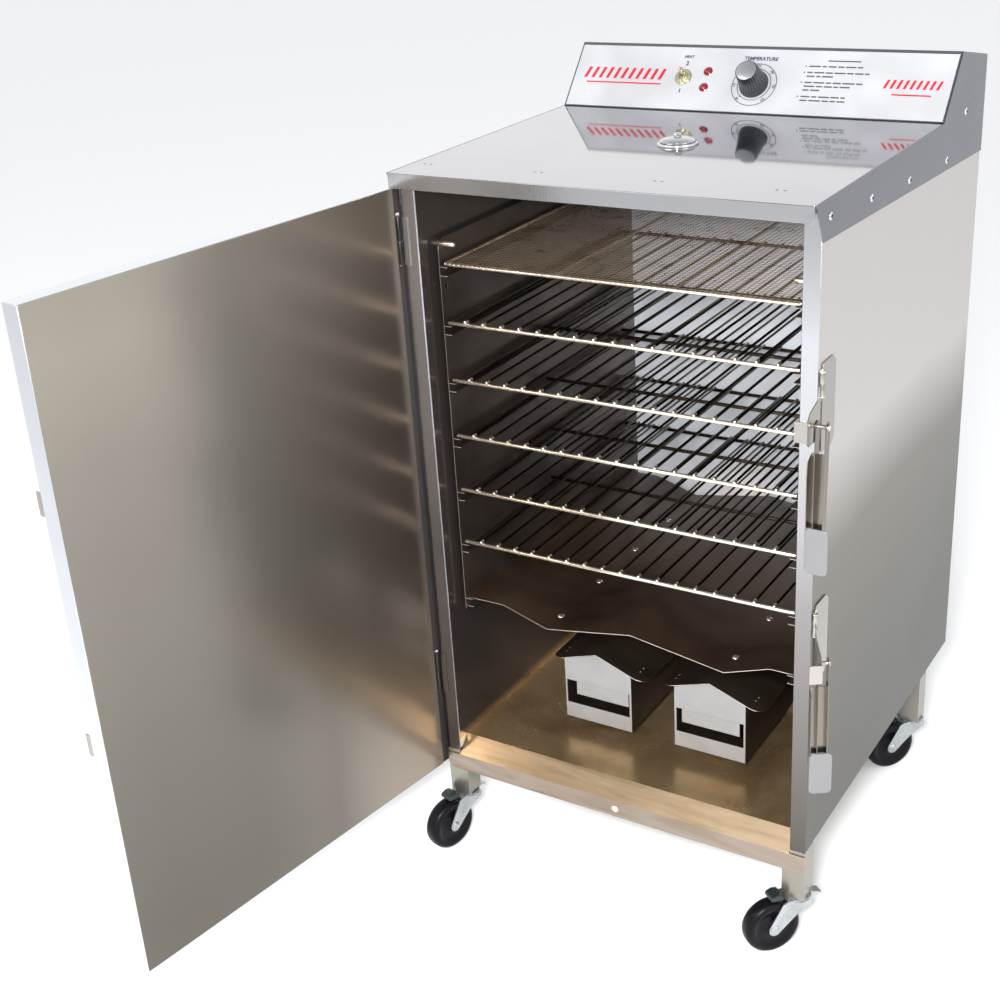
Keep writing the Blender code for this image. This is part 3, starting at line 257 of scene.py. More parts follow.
def brushed(name, colour, roughness, stretch, grain=0.12, spread=0.05, metallic=1.0, heights=()):
    """Stainless with a grain: fine streaks across the direction in which stretch is large, and faint smears.

    heights, where given, is its colour from the floor up, as (height, colour) stops: painted shade and painted
    reflection, which darken the sheet towards the floor.
    """
    make = Shader(name, colour, metallic, roughness)
    streaks = make.noise(stretch, 1.0, 4.0, 0.6)
    smears = make.noise((1, 1, 1), 5.0, 3.0, 0.5, 0.6)
    if heights:
        # Painted shade: the base colour follows the height through the heights stops
        level = make.math("ADD", make.along("Z"), make.remap(smears, -0.02, 0.02))
        make.set("Base Color", make.ramp(level, *heights))
    else:
        darker = tuple(part * 0.94 for part in colour)
        make.set("Base Color", make.mix(make.remap(smears, 0, 1, 0.3, 0.7), colour, darker))
    broad = make.remap(smears, roughness * 0.9, roughness * 1.1)
    make.set("Roughness", make.math("ADD", make.remap(streaks, -spread, spread), broad))
    make.bump(streaks, grain, 0.0004)
    return make.material


def smoked_door():
    """The door's inner sheet under a smooth brown film of smoke.

    Its colour changes from the hinges, at Y near 0, to the free edge, and from the foot to the head: painted shade
    and painted reflection over the film's own brown.
    """
    make = Shader("smoked_door", (0.26, 0.24, 0.205), 0.86, 0.2)
    film = make.noise((1, 1, 1), 3.0, 2.0, 0.4, 0.3)
    grain = make.noise((300, 300, 8), 1.0, 3.0, 0.5)
    along = make.math("ADD", make.along("Y"), make.remap(film, -0.02, 0.02))
    across = make.remap(along, 0, 1, -0.55, 0.0)
    # The smoke's brown across the door, with painted reflection that darkens it towards both edges
    smoke_and_reflection_tone = make.ramp(
        across,
        (0.09, (0.190, 0.174, 0.148)),
        (0.34, (0.215, 0.197, 0.167)),
        (0.51, (0.275, 0.252, 0.215)),
        (0.67, (0.270, 0.240, 0.205)),
        (0.82, (0.230, 0.195, 0.160)),
        (0.96, (0.180, 0.145, 0.115)),
    )
    # Painted shade and painted light by height, for the free edge (far) and by the hinges (near); numbers above 1
    # brighten the colour past the film's own
    far = make.curve(make.along("Z"), (0.18, 0.60), (0.42, 0.75), (0.65, 1.0), (0.77, 1.25), (0.89, 1.7))
    near = make.curve(
        make.along("Z"), (0.20, 1.9), (0.30, 1.4), (0.45, 0.85), (0.65, 0.8), (0.78, 0.95), (0.92, 1.5)
    )
    shade = make.mix(make.remap(along, 0, 1, -0.24, -0.04), far, near)
    make.set("Base Color", make.scale(smoke_and_reflection_tone, shade))
    make.set("Roughness", make.math("ADD", make.remap(grain, -0.012, 0.012), make.remap(film, 0.20, 0.25)))
    make.bump(grain, 0.012, 0.0003)
    return make.material


# Where heat_tinted's two or three colours stand in the clouds
CLOUD_PLACES = {2: (0.3, 0.7), 3: (0.3, 0.55, 0.8)}


def heat_tinted(name, colours, roughness, stretch=(1, 1, 1), scale=5.0, metallic=1.0, places=None):
    """Stainless that smoke and heat have coloured in soft clouds."""
    make = Shader(name, colours[0], metallic, roughness)
    clouds = make.noise(stretch, scale, 5.0, 0.55, 0.8)
    fine = make.noise((1, 1, 1), 60.0, 3.0, 0.6)
    make.set("Base Color", make.ramp(clouds, *zip(places or CLOUD_PLACES[len(colours)], colours)))
    broad = make.remap(clouds, roughness * 0.8, roughness * 1.3)
    make.set("Roughness", make.math("ADD", make.remap(fine, -0.06, 0.06), broad))
    make.bump(fine, 0.05, 0.0005)
    return make.material


# The heights between which the lining's browned floor fades into its walls
BROWNED = (0.168, 0.182)


def liner_steel():
    """The lining: a pale back wall and darker sides, which are painted light and painted shade on one sheet, over
    a floor browned by smoke and grease.
    """
    make = Shader("liner_steel", (0.5, 0.48, 0.46), 0.7, 0.25)
    streaks = make.noise((9, 9, 500), 1.0, 4.0, 0.6)
    clouds = make.noise((1, 1, 1), 7.0, 5.0, 0.6, 0.6)
    # Painted light and shade: faces along Y, the back wall, are paler than faces along X, the sides, and the
    # metallic follows them
    back = make.remap(make.math("ABSOLUTE", make.facing("Y")), 0, 1, 0.5, 0.9)
    lit_and_shaded_walls = make.mix(back, (0.105, 0.090, 0.081), (0.86, 0.90, 0.97))
    stains = ((0.3, (0.34, 0.21, 0.10)), (0.55, (0.56, 0.39, 0.21)), (0.8, (0.66, 0.50, 0.31)))
    stain = make.ramp(clouds, *stains)
    level = make.math("ADD", make.along("Z"), make.remap(clouds, -0.004, 0.004))
    low = make.remap(level, 1, 0, *BROWNED)
    make.set("Base Color", make.mix(low, lit_and_shaded_walls, stain))
    make.set("Metallic", make.math("SUBTRACT", 0.80, make.math("MULTIPLY", back, 0.62)))
    make.set("Roughness", make.math("ADD", make.remap(streaks, -0.05, 0.05), make.remap(low, 0.22, 0.27)))
    make.bump(make.math("ADD", streaks, clouds), 0.05, 0.0005)
    return make.material


def plain(name, colour, metallic, roughness, grain=0.02, scale=220.0, coat=0.0, shine=0.5):
    """A moulded or painted finish with a fine grain and slight unevenness of gloss."""
    make = Shader(name, colour, metallic, roughness)
    fine = make.noise((1, 1, 1), scale, 3.0, 0.55)
    broad = make.noise((1, 1, 1), 14.0, 2.0, 0.5)
    darker = tuple(part * 0.86 for part in colour)
    make.set("Base Color", make.mix(make.remap(broad, 0, 1, 0.35, 0.65), colour, darker))
    gloss = make.remap(broad, roughness * 0.85, roughness * 1.15)
    make.set("Roughness", make.math("ADD", make.remap(fine, -0.04, 0.04), gloss))
    make.set("Coat Weight", coat)
    make.set("Specular IOR Level", shine)
    make.bump(fine, grain, 0.0003)
    return make.material


SIDE_STEEL = brushed(
    "side_steel",
    (0.55, 0.525, 0.505),
    0.34,
    (9, 9, 700),
    0.06,
    0.04,
    # Painted shade and painted reflection: the side sheet is darker towards the floor
    heights=(
        (0.15, (0.066, 0.062, 0.050)),
        (0.25, (0.082, 0.078, 0.063)),
        (0.40, (0.132, 0.126, 0.104)),
        (0.55, (0.205, 0.195, 0.167)),
        (0.67, (0.590, 0.560, 0.535)),
        (0.90, (0.610, 0.575, 0.560)),
    ),
)
DOOR_STEEL = smoked_door()
EDGE_STEEL = brushed("edge_steel", (0.66, 0.68, 0.71), 0.26, (9, 9, 500), 0.05, 0.03)
PAN_STEEL = brushed("pan_steel", (0.37, 0.365, 0.36), 0.34, (9, 9, 700), 0.05, 0.04)
FRAME_STEEL = brushed(
    "frame_steel",
    (0.58, 0.59, 0.61),
    0.18,
    (700, 60, 9),
    0.06,
    0.03,
    # Painted shade and painted light: darkest at the floor, brightest at 0.82 m, darker again at the head
    heights=(
        (0.15, (0.110, 0.100, 0.088)),
        (0.30, (0.165, 0.155, 0.148)),
        (0.50, (0.235, 0.225, 0.225)),
        (0.68, (0.400, 0.400, 0.410)),
        (0.82, (0.600, 0.615, 0.640)),
        (0.95, (0.460, 0.460, 0.475)),
    ),
)
TOP_STEEL = brushed("top_steel", (0.352, 0.343, 0.37), 0.05, (4, 500, 4), 0.02, 0.012)
TRIM_STEEL = brushed("trim_steel", (0.205, 0.205, 0.228), 0.30, (9, 9, 700), 0.08)
LATCH_STEEL = brushed("latch_steel", (0.40, 0.375, 0.345), 0.26, (300, 300, 20), 0.05)
PAD_STEEL = brushed("pad_steel", (0.27, 0.27, 0.275), 0.32, (300, 20, 300), 0.05)
LEVER_STEEL = brushed("lever_steel", (0.21, 0.185, 0.16), 0.24, (300, 300, 20), 0.05)
LEG_STEEL = brushed("leg_steel", (0.30, 0.285, 0.25), 0.30, (500, 500, 12), 0.06, metallic=0.85)
LINER_STEEL = liner_steel()
SLOPE_STEEL = heat_tinted(
    "slope_steel", ((0.17, 0.120, 0.072), (0.26, 0.195, 0.125), (0.31, 0.255, 0.195)), 0.30, (2, 14, 14), 3.0
)
SILL_STEEL = heat_tinted(
    "sill_steel",
    ((0.23, 0.175, 0.135), (0.33, 0.27, 0.22), (0.38, 0.34, 0.305)),
    0.28,
    (2, 14, 14),
    3.0,
    places=(0.30, 0.52, 0.75),
)
SMOKED_STEEL = heat_tinted(
    "smoked_steel", ((0.050, 0.030, 0.018), (0.10, 0.062, 0.038), (0.15, 0.105, 0.075)), 0.34, metallic=0.8
)
LID_STEEL = heat_tinted(
    "lid_steel",
    ((0.055, 0.040, 0.028), (0.095, 0.072, 0.052), (0.15, 0.13, 0.11)),
    0.34,
    scale=9.0,
    metallic=0.85,
)
LADDER_STEEL = heat_tinted(
    "ladder_steel",
    ((0.060, 0.046, 0.036), (0.13, 0.105, 0.088), (0.19, 0.165, 0.15)),
    0.30,
    metallic=0.85,
    places=(0.30, 0.6, 0.8),
)
BOX_STEEL = heat_tinted(
    "box_steel", ((0.265, 0.264, 0.262), (0.32, 0.322, 0.323)), 0.42, scale=12.0, metallic=0.3
)
CUT_EDGE = heat_tinted("cut_edge", ((0.52, 0.47, 0.41), (0.70, 0.66, 0.60)), 0.22, scale=40.0, metallic=0.9)
DARK_WIRE = heat_tinted("dark_wire", ((0.030, 0.022, 0.017), (0.080, 0.058, 0.043)), 0.30, scale=30.0)
BRIGHT_WIRE = heat_tinted(
    "bright_wire", ((0.62, 0.54, 0.44), (0.80, 0.74, 0.64)), 0.20, scale=30.0, metallic=0.9
)
MESH_WIRE = heat_tinted(
    "mesh_wire", ((0.20, 0.14, 0.085), (0.36, 0.28, 0.20)), 0.28, scale=18.0, metallic=0.8
)
ZINC = heat_tinted("zinc", ((0.33, 0.355, 0.365), (0.47, 0.49, 0.50)), 0.24, scale=40.0, metallic=0.9)
BOLT_STEEL = plain("bolt_steel", (0.80, 0.79, 0.78), 1.0, 0.16)
CHROME = plain("chrome", (0.62, 0.62, 0.63), 1.0, 0.07, 0.004)
TUBE_STEEL = heat_tinted("tube_steel", ((0.10, 0.09, 0.085), (0.20, 0.17, 0.15)), 0.42, scale=25.0)
WOOL = heat_tinted("mineral_wool", ((0.55, 0.50, 0.33), (0.68, 0.64, 0.48)), 0.95, scale=60.0, metallic=0.0)
RUBBER = plain("black_wheel_moulding", (0.003, 0.003, 0.005), 0.0, 0.36, 0.03, 160.0, 0.0, 0.14)
SHOE = plain("brake_moulding", (0.008, 0.016, 0.014), 0.0, 0.38, 0.03)
PANEL_WHITE = plain("panel_white", (0.44, 0.445, 0.46), 0.0, 0.30, 0.008, 300.0, 0.25)
INK_BLUE = plain("ink_blue", (0.030, 0.038, 0.075), 0.0, 0.45)
INK_GREY = plain("ink_grey", (0.060, 0.065, 0.080), 0.0, 0.5)
INK_RED = plain("ink_red", (0.50, 0.006, 0.020), 0.0, 0.45)
KNOB_BLACK = plain("knob_black", (0.022, 0.024, 0.030), 0.0, 0.30, 0.02, 160.0, 0.3)
KNOB_SILVER = plain("knob_silver", (0.50, 0.51, 0.53), 1.0, 0.24, 0.03)
KNOB_SIDE = plain("knob_side", (0.12, 0.125, 0.14), 1.0, 0.22, 0.03)
HINGE_STEEL = plain("hinge_steel", (0.045, 0.042, 0.040), 1.0, 0.34, 0.03)
# Painted shade: a near-black finish for the strip that stands in for the shade in the hinge gap
DOOR_GAP_SHADE = plain("door_gap_shade", (0.040, 0.037, 0.035), 0.5, 0.45, 0.03)
GOLD = plain("pale_gold", (0.72, 0.68, 0.52), 1.0, 0.22)
LENS_RED = plain("lens_red", (0.20, 0.004, 0.010), 0.0, 0.14, 0.004, 200.0, 0.4)
BLACK_MOULDING = plain("black_moulding", (0.022, 0.022, 0.023), 0.0, 0.42)


# ---- Places ----
def low_high(node):
    """The two far corners of the node's box in the cabinet frame."""
    low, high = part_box(node)
    return low - ORIGIN, high - ORIGIN


def joint_place(name):
    """The joint's position in the cabinet frame."""
    return Vector(JOINTS[name]["pos_m"]) - ORIGIN


def placed(x, y, z):
    return Matrix.Translation((x, y, z))


CABINET = Matrix.Translation(ORIGIN)
DOOR_OPEN = math.radians(98.3)
HINGE = joint_place("door_hinge")
DOOR = CABINET @ placed(HINGE.x, HINGE.y, 0) @ Matrix.Rotation(-DOOR_OPEN, 4, "Z")
# The room between parts that the CAD leaves
GAP = 0.0003
TOP = low_high("top_cover")[1].z
# The console's sloping face: its foot, its rise over its run, and the panel's face above it
FACE_FOOT, FACE_RISE, FACE_RUN = 0.410, 0.076, 0.065
FACE_TILT = math.atan2(FACE_RISE, FACE_RUN)
FACE = CABINET @ placed(0, FACE_FOOT, TOP + GAP) @ Matrix.Rotation(FACE_TILT, 4, "X")
PANEL_FACE = 0.0013
VENT_DEPTH, VENT_TUBE_FOOT = 0.215, 0.9442
LATCH_TURN = {"upper": 0, "lower": math.radians(33)}
# An outline's own X and Y laid along Y and Z, or along X and Z
AS_YZ = Matrix(((0, 0, 1, 0), (1, 0, 0, 0), (0, 1, 0, 0), (0, 0, 0, 1)))
AS_XZ = Matrix(((1, 0, 0, 0), (0, 0, -1, 0), (0, 1, 0, 0), (0, 0, 0, 1)))


# ---- Shapes ----
def join_rings(shape, rings):
    """Faces between each ring and the next, and one across each end."""
    for first, second in zip(rings, rings[1:]):
        for i in range(len(first)):
            j = (i + 1) % len(first)
            shape.faces.new((first[i], first[j], second[j], second[i]))
    shape.faces.new(rings[0][::-1])
    shape.faces.new(rings[-1])


def add_tube(shape, points, radius, sides=10, dome=0.0):
    """A round tube along the points, its ends rounded off by dome times the radius."""
    points = [Vector(point) for point in points]
    stations = []
    side = None
    for i, point in enumerate(points):
        along = (points[min(i + 1, len(points) - 1)] - points[max(i - 1, 0)]).normalized()
        side = along.orthogonal() if side is None else side - along * side.dot(along)
        side.normalize()
        stations.append((point, along, side.copy(), radius))
    if dome:
        for index, way in ((0, -1), (-1, 1)):
            point, along, side, _ = stations[index]
            for angle in (0.6, 1.15):
                further = point + along * way * dome * radius * math.sin(angle)
                extra = (further, along, side, radius * math.cos(angle))
                if way < 0:
                    stations.insert(0, extra)
                else:
                    stations.append(extra)
    rings = []
    for point, along, side, reach in stations:
        other = along.cross(side)
        ring = []
        for i in range(sides):
            angle = 2 * math.pi * i / sides
            ring.append(shape.verts.new(point + reach * (math.cos(angle) * side + math.sin(angle) * other)))
        rings.append(ring)
    join_rings(shape, rings)


def add_turned(shape, profile, sides, place=None, closed=False):
    """The profile's (radius, height) points turned about Z. A closed profile joins its last to its first."""
    place = place or Matrix()
    rings = []
    for radius, height in profile:
        if radius < 1e-7:
            rings.append([shape.verts.new(place @ Vector((0, 0, height)))])
            continue
        ring = []
        for i in range(sides):
            angle = 2 * math.pi * i / sides
            point = Vector((radius * math.cos(angle), radius * math.sin(angle), height))
            ring.append(shape.verts.new(place @ point))
        rings.append(ring)
    pairs = list(zip(rings, rings[1:]))
    if closed:
        pairs.append((rings[-1], rings[0]))
    for low, high in pairs:
        for i in range(sides):
            j = (i + 1) % sides
            corners = [low[i % len(low)], low[j % len(low)], high[j % len(high)], high[i % len(high)]]
            corners = list(dict.fromkeys(corners))
            if len(corners) > 2:
                shape.faces.new(corners)


def add_plate(shape, outline, low, high, place=None):
    """An outline without holes, as a plate from low to high along its own Z."""
    place = place or Matrix()
    bottom = [shape.verts.new(place @ Vector((x, y, low))) for x, y in outline]
    top = [shape.verts.new(place @ Vector((x, y, high))) for x, y in outline]
    shape.faces.new(bottom[::-1])
    shape.faces.new(top)
    for i in range(len(outline)):
        j = (i + 1) % len(outline)
        shape.faces.new((bottom[i], bottom[j], top[j], top[i]))


def arc(centre, radius, start, end, steps):
    points = []
    for step in range(steps + 1):
        angle = math.radians(start + (end - start) * step / steps)
        points.append((centre[0] + radius * math.cos(angle), centre[1] + radius * math.sin(angle)))
    return points


def hexagon(radius):
    return [(radius * math.cos(math.pi * i / 3), radius * math.sin(math.pi * i / 3)) for i in range(6)]


def round_rectangle(low, high, radius, steps=4):
    left, bottom = low[0] + radius, low[1] + radius
    right, top = high[0] - radius, high[1] - radius
    return [
        *arc((left, bottom), radius, 180, 270, steps),
        *arc((right, bottom), radius, 270, 360, steps),
        *arc((right, top), radius, 0, 90, steps),
        *arc((left, top), radius, 90, 180, steps),
    ]


def show(name, mesh, looks, body, replaced=(), sharp=35):
    """Links the piece, with its materials, its body and the CAD nodes that it stands for."""
    piece = bpy.data.objects.new(name, mesh)
    link(piece)
    for look in looks if isinstance(looks, (list, tuple)) else (looks,):
        mesh.materials.append(look)
    if sharp:
        mesh.shade_smooth()
        mesh.set_sharp_from_angle(angle=math.radians(sharp))
    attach(piece, body)
    if replaced:
        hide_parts(*replaced)


# Edges over SHARP degrees are rounded off, and those between CURVED and SHARP belong to a curved face.
SHARP, CURVED = 40, 3


def soften(shape, width, segments):
    """Rounds the sharp edges. Flat faces stay flat shaded, so that none looks tilted by its rounding."""
    edges = []
    for face in shape.faces:
        face.smooth = False
    for edge in shape.edges:
        if len(edge.link_faces) != 2:
            continue
        angle = edge.calc_face_angle(0)
        if angle > math.radians(SHARP):
            edges.append(edge)
        elif angle > math.radians(CURVED):
            for face in edge.link_faces:
                face.smooth = True
    made = bmesh.ops.bevel(
        shape,
        geom=edges,
        offset=width,
        offset_type="OFFSET",
        segments=segments,
        profile=0.5,
        affect="EDGES",
        clamp_overlap=True,
        loop_slide=True,
    )
    for face in made["faces"]:
        face.smooth = True


def finished(name, shape, looks, body, place=None, replaced=(), bevel=0.0, segments=2, sharp=35):
    """Turns a bmesh made in place's frame into a piece."""
    bmesh.ops.recalc_face_normals(shape, faces=shape.faces)
    if bevel:
        soften(shape, bevel, segments)
        sharp = 0
    shape.transform(place or CABINET)
    mesh = bpy.data.meshes.new(name)
    shape.to_mesh(mesh)
    shape.free()
    show(name, mesh, looks, body, replaced, sharp)


def softened(node, width, looks, second=None, move=None, segments=2):
    """The CAD node with its triangles joined into flat faces and its edges rounded.

    second(face centre, normal) picks the faces with the second material, and move(point) shifts the points.
    """
    shape = bmesh.new()
    shape.from_mesh(NODES[node].data)
    bmesh.ops.remove_doubles(shape, verts=shape.verts, dist=2e-5)
    bmesh.ops.dissolve_limit(shape, angle_limit=math.radians(0.6), verts=shape.verts, edges=shape.edges)
    shape.transform(Matrix.Translation(-ORIGIN))
    if move is not None:
        for vertex in shape.verts:
            vertex.co = move(vertex.co.copy())
    shape.normal_update()
    for face in shape.faces:
        face.material_index = int(second is not None and second(face.calc_center_median(), face.normal))
    soften(shape, width, segments)
    shape.transform(CABINET)
    mesh = bpy.data.meshes.new(f"{node}_shape")
    shape.to_mesh(mesh)
    shape.free()
    show(f"{node}_shape", mesh, looks, BODY_OF[node], (node,), 0)


# ---- Cabinet and door sheets ----
# Just behind the outer face of the wood boxes' fronts
BOX_FRONT = 0.1045
# Where the cheeks' screws, the top's spot welds, the sill's bolt and the baffle's bushes stand
CHEEK_SCREWS = ((0.020, 0.946), (0.148, 0.935), (0.281, 0.925), (0.428, 0.917), (0.500, 0.964))
SPOT_WELDS_X, SPOT_WELD_DEPTH = (-0.244, -0.090, 0.064, 0.208), 0.032
SILL_BOLT_HEIGHT = 0.1245
BUSH_X_AND_DROP, BUSH_DEPTHS = ((-0.112, 0.021), (0.142, 0.020)), (0.070, 0.180, 0.290, 0.400)
PEG_DEPTHS, PEG_HEIGHT = (0.042, 0.470), 0.866


def faces_front(centre, normal):
    return normal.y < -0.9


def is_box_front(centre, normal):
    return faces_front(centre, normal) and centre.y < BOX_FRONT


def make_sheets():
    softened("outer_shell", 0.0006, SIDE_STEEL)
    softened("front_frame", 0.0004, FRAME_STEEL)
    softened("top_cover", 0.0007, (TOP_STEEL, FRAME_STEEL), faces_front)
    softened("cheek_left", 0.0003, TRIM_STEEL)
    softened("cheek_right", 0.0003, TRIM_STEEL)
    softened("console_housing", 0.0006, TRIM_STEEL)
    softened("door_pan", 0.0006, (EDGE_STEEL, PAN_STEEL), lambda centre, normal: normal.x < -0.9)
    softened("door_inner_panel", 0.0004, DOOR_STEEL)
    softened("drip_sill", 0.0004, (SILL_STEEL, SLOPE_STEEL), lambda centre, normal: abs(normal.z) > 0.2)
    softened("base_with_legs", 0.0015, LEG_STEEL, segments=3)
    for name in ("left", "right"):
        softened(f"wood_box_{name}", 0.0003, (LID_STEEL, BOX_STEEL), is_box_front)
        softened(f"wood_box_lid_{name}", 0.0004, (LID_STEEL, CUT_EDGE), faces_front)
        softened(f"rack_ladder_{name}", 0.00025, (LADDER_STEEL, CUT_EDGE), faces_front)
    softened("drip_baffle", 0.0004, (SMOKED_STEEL, CUT_EDGE), faces_front)


def make_fittings():
    """Screws, spot welds, the sill's bolt and the baffle's drain bushes."""
    for name, side in (("left", -1), ("right", 1)):
        low, high = low_high(f"cheek_{name}")
        outside = high.x if side > 0 else low.x
        shape = bmesh.new()
        for y, z in CHEEK_SCREWS:
            place = placed(outside - side * 0.0016, y, z) @ Matrix.Rotation(side * math.pi / 2, 4, "Y")
            head = [(0, 0), (0.0046, 0), (0.0046, 0.0003), (0.0043, 0.0008), (0.0034, 0.0013)]
            add_turned(shape, [*head, (0.0016, 0.0016), (0, 0.0016)], 20, place)
        finished(f"cheek_screws_{name}", shape, BOLT_STEEL, "cabinet")

    shape = bmesh.new()
    for x in SPOT_WELDS_X:
        for step in (-0.0045, 0.0045):
            weld = [(0.0021, -0.0001), (0.0019, 0.00012), (0.0010, 0.00022), (0, 0.00025)]
            add_turned(shape, weld, 14, placed(x + step, SPOT_WELD_DEPTH, TOP))
    finished("top_spot_welds", shape, TRIM_STEEL, "cabinet")

    shape = bmesh.new()
    front = low_high("drip_sill")[0].y
    place = placed(0, front, SILL_BOLT_HEIGHT) @ Matrix.Rotation(math.pi / 2, 4, "X")
    # Flat, because the closed door passes just in front of the sill
    bolt = [(0, -0.0001), (0.0052, -0.0001), (0.0051, 0.0002), (0.0044, 0.0004), (0, 0.0005)]
    add_turned(shape, bolt, 20, place)
    finished("sill_bolt", shape, CUT_EDGE, "cabinet")

    crest = low_high("drip_baffle")[1].z
    shape = bmesh.new()
    for x, drop in BUSH_X_AND_DROP:
        for y in BUSH_DEPTHS:
            bush = [(0.0018, 0.0004), (0.0018, 0.0016), (0.0030, 0.0019), (0.0044, 0.0013), (0.0050, 0.0004)]
            bush += [(0.0050, -0.0002), (0.0018, -0.0002)]
            add_turned(shape, bush, 18, placed(x, y, crest - drop), True)
    finished("baffle_drain_bushes", shape, CUT_EDGE, "drip_baffle")

    shape = bmesh.new()
    for side in (-1, 1):
        for y in PEG_DEPTHS:
            start, end = (side * 0.2460, y, PEG_HEIGHT), (side * 0.2225, y, PEG_HEIGHT)
            add_tube(shape, (start, end), 0.0034, 16, 0.5)
    finished("ladder_pegs", shape, BRIGHT_WIRE, "cabinet")

    for name in ("left", "right"):
        low, high = low_high(f"wood_box_lid_{name}")
        centre = (low.x + high.x) / 2 - 0.0065
        shape = bmesh.new()
        for y in (low.y + 0.020, low.y + 0.030, high.y - 0.030):
            for x, slope_width in ((-0.052, 0.0565), (0.062, 0.0465)):
                fall = 0.018 * abs(x - 0.005) / slope_width
                rivet = [(0.0018, -0.0006), (0.0017, 0.0002), (0.0009, 0.0006), (0, 0.0007)]
                add_turned(shape, rivet, 12, placed(centre + x, y, high.z - fall))
        finished(f"lid_rivets_{name}", shape, CUT_EDGE, f"wood_box_lid_{name}")


# ---- Racks ----
RACK_COUNT, RACK_WIRES = 5, 17
ROD, WIRE, WIRE_TIP = 0.0026, 0.00165, 0.0021
MESH_RIM, MESH_BAR, MESH_THREAD, MESH_COUNT = 0.0022, 0.0020, 0.00040, 70


def make_racks():
    low, high = low_high("wire_rack_1")
    half = high.x
    rods = (low.y + ROD, (low.y + high.y) / 2, high.y - ROD)
    first = half - 2 * half / (RACK_WIRES + 1)
    end = half - 0.0012
    for index in range(1, RACK_COUNT + 1):
        node = f"wire_rack_{index}"
        low, high = low_high(node)
        rod_level = (low.z + high.z) / 2 + 0.0006
        wire_level = rod_level + 0.0040
        bright = bmesh.new()
        add_tube(bright, ((-end, rods[0], rod_level), (end, rods[0], rod_level)), ROD, 14, 0.5)
        dark = bmesh.new()
        for y in rods[1:]:
            add_tube(dark, ((-end, y, rod_level), (end, y, rod_level)), ROD, 12, 0.5)
        for i in range(RACK_WIRES):
            x = -first + 2 * first * i / (RACK_WIRES - 1)
            add_tube(dark, ((x, rods[0] + 0.0010, wire_level), (x, rods[2], wire_level)), WIRE, 10, 0.6)
            tip = ((x, rods[0] - 0.0022, wire_level), (x, rods[0] + 0.0034, wire_level))
            add_tube(bright, tip, WIRE_TIP, 12, 0.8)
        finished(f"{node}_wires", dark, DARK_WIRE, node, replaced=(node,))
        finished(f"{node}_front", bright, BRIGHT_WIRE, node)

    low, high = low_high("mesh_rack")
    level = (low.z + high.z) / 2
    frame_shape = bmesh.new()
    inset = 0.0024
    left, right, front, back = low.x + inset, high.x - inset, low.y + inset, high.y - inset
    for y in (front, back):
        add_tube(frame_shape, ((left, y, level), (right, y, level)), MESH_RIM, 12, 0.6)
    for x in (left, right, left + (right - left) / 3, right - (right - left) / 3):
        add_tube(frame_shape, ((x, front, level), (x, back, level)), MESH_BAR, 12, 0.6)
    finished("mesh_rack_frame", frame_shape, BRIGHT_WIRE, "mesh_rack", replaced=("mesh_rack",))
    cloth = bmesh.new()
    beads = bmesh.new()
    under, over = level + 0.0027, level + 0.0034
    for i in range(MESH_COUNT + 1):
        share = i / MESH_COUNT
        x = left + (right - left) * share
        y = front + (back - front) * share
        add_tube(cloth, ((x, front - 0.001, under), (x, back + 0.001, under)), MESH_THREAD, 6)
        add_tube(cloth, ((left - 0.001, y, over), (right + 0.001, y, over)), MESH_THREAD, 6)
        bead = ((x, front - 0.0020, level + 0.0012), (x, front + 0.0014, level + 0.0022))
        add_tube(beads, bead, 0.0011, 8, 0.8)
    finished("mesh_rack_cloth", cloth, MESH_WIRE, "mesh_rack")
    finished("mesh_rack_front_beads", beads, BRIGHT_WIRE, "mesh_rack")


# ---- Console ----
KNOB_X, KNOB_UP = 0.0055, 0.042
TOGGLE_X, TOGGLE_UP = -0.0985, 0.049
LAMP_X = -0.065
LAMP_UPS = {"upper": 0.059, "lower": 0.035}
PRINT_FOOT, PRINT_TOP = PANEL_FACE - 0.0001, PANEL_FACE + 0.00012
# The dial runs from DIAL_START degrees through DIAL_SWEEP, clockwise
DIAL_START, DIAL_SWEEP, DIAL_TICKS = 230, 280, 30
DIAL_NUMBERS = (100, 125, 150, 175, 200, 225, 250)


def add_print(shape, outline):
    add_plate(shape, outline, PRINT_FOOT, PRINT_TOP)


def add_ring(shape, x, up, inner, outer):
    profile = [(inner, PRINT_FOOT), (outer, PRINT_FOOT), (outer, PRINT_TOP), (inner, PRINT_TOP)]
    add_turned(shape, profile, 72, placed(x, up, 0), True)


def add_words(shape, words, x, up, size, turn=0.0, weight=0.00012):
    """Generic lettering as flat shapes, centred on its place."""
    curve = bpy.data.curves.new("letters", "FONT")
    curve.body = words
    curve.size = size
    curve.align_x = "CENTER"
    curve.align_y = "CENTER"
    curve.extrude = 0.00012
    curve.offset = weight
    curve.resolution_u = 3
    holder = bpy.data.objects.new("letters", curve)
    link(holder)
    bpy.context.view_layer.update()
    mesh = bpy.data.meshes.new_from_object(holder.evaluated_get(bpy.context.evaluated_depsgraph_get()))
    mesh.transform(placed(x, up, PANEL_FACE + 0.00003) @ Matrix.Rotation(turn, 4, "Z"))
    shape.from_mesh(mesh)
    bpy.data.objects.remove(holder, do_unlink=True)
    bpy.data.curves.remove(curve)
    bpy.data.meshes.remove(mesh)


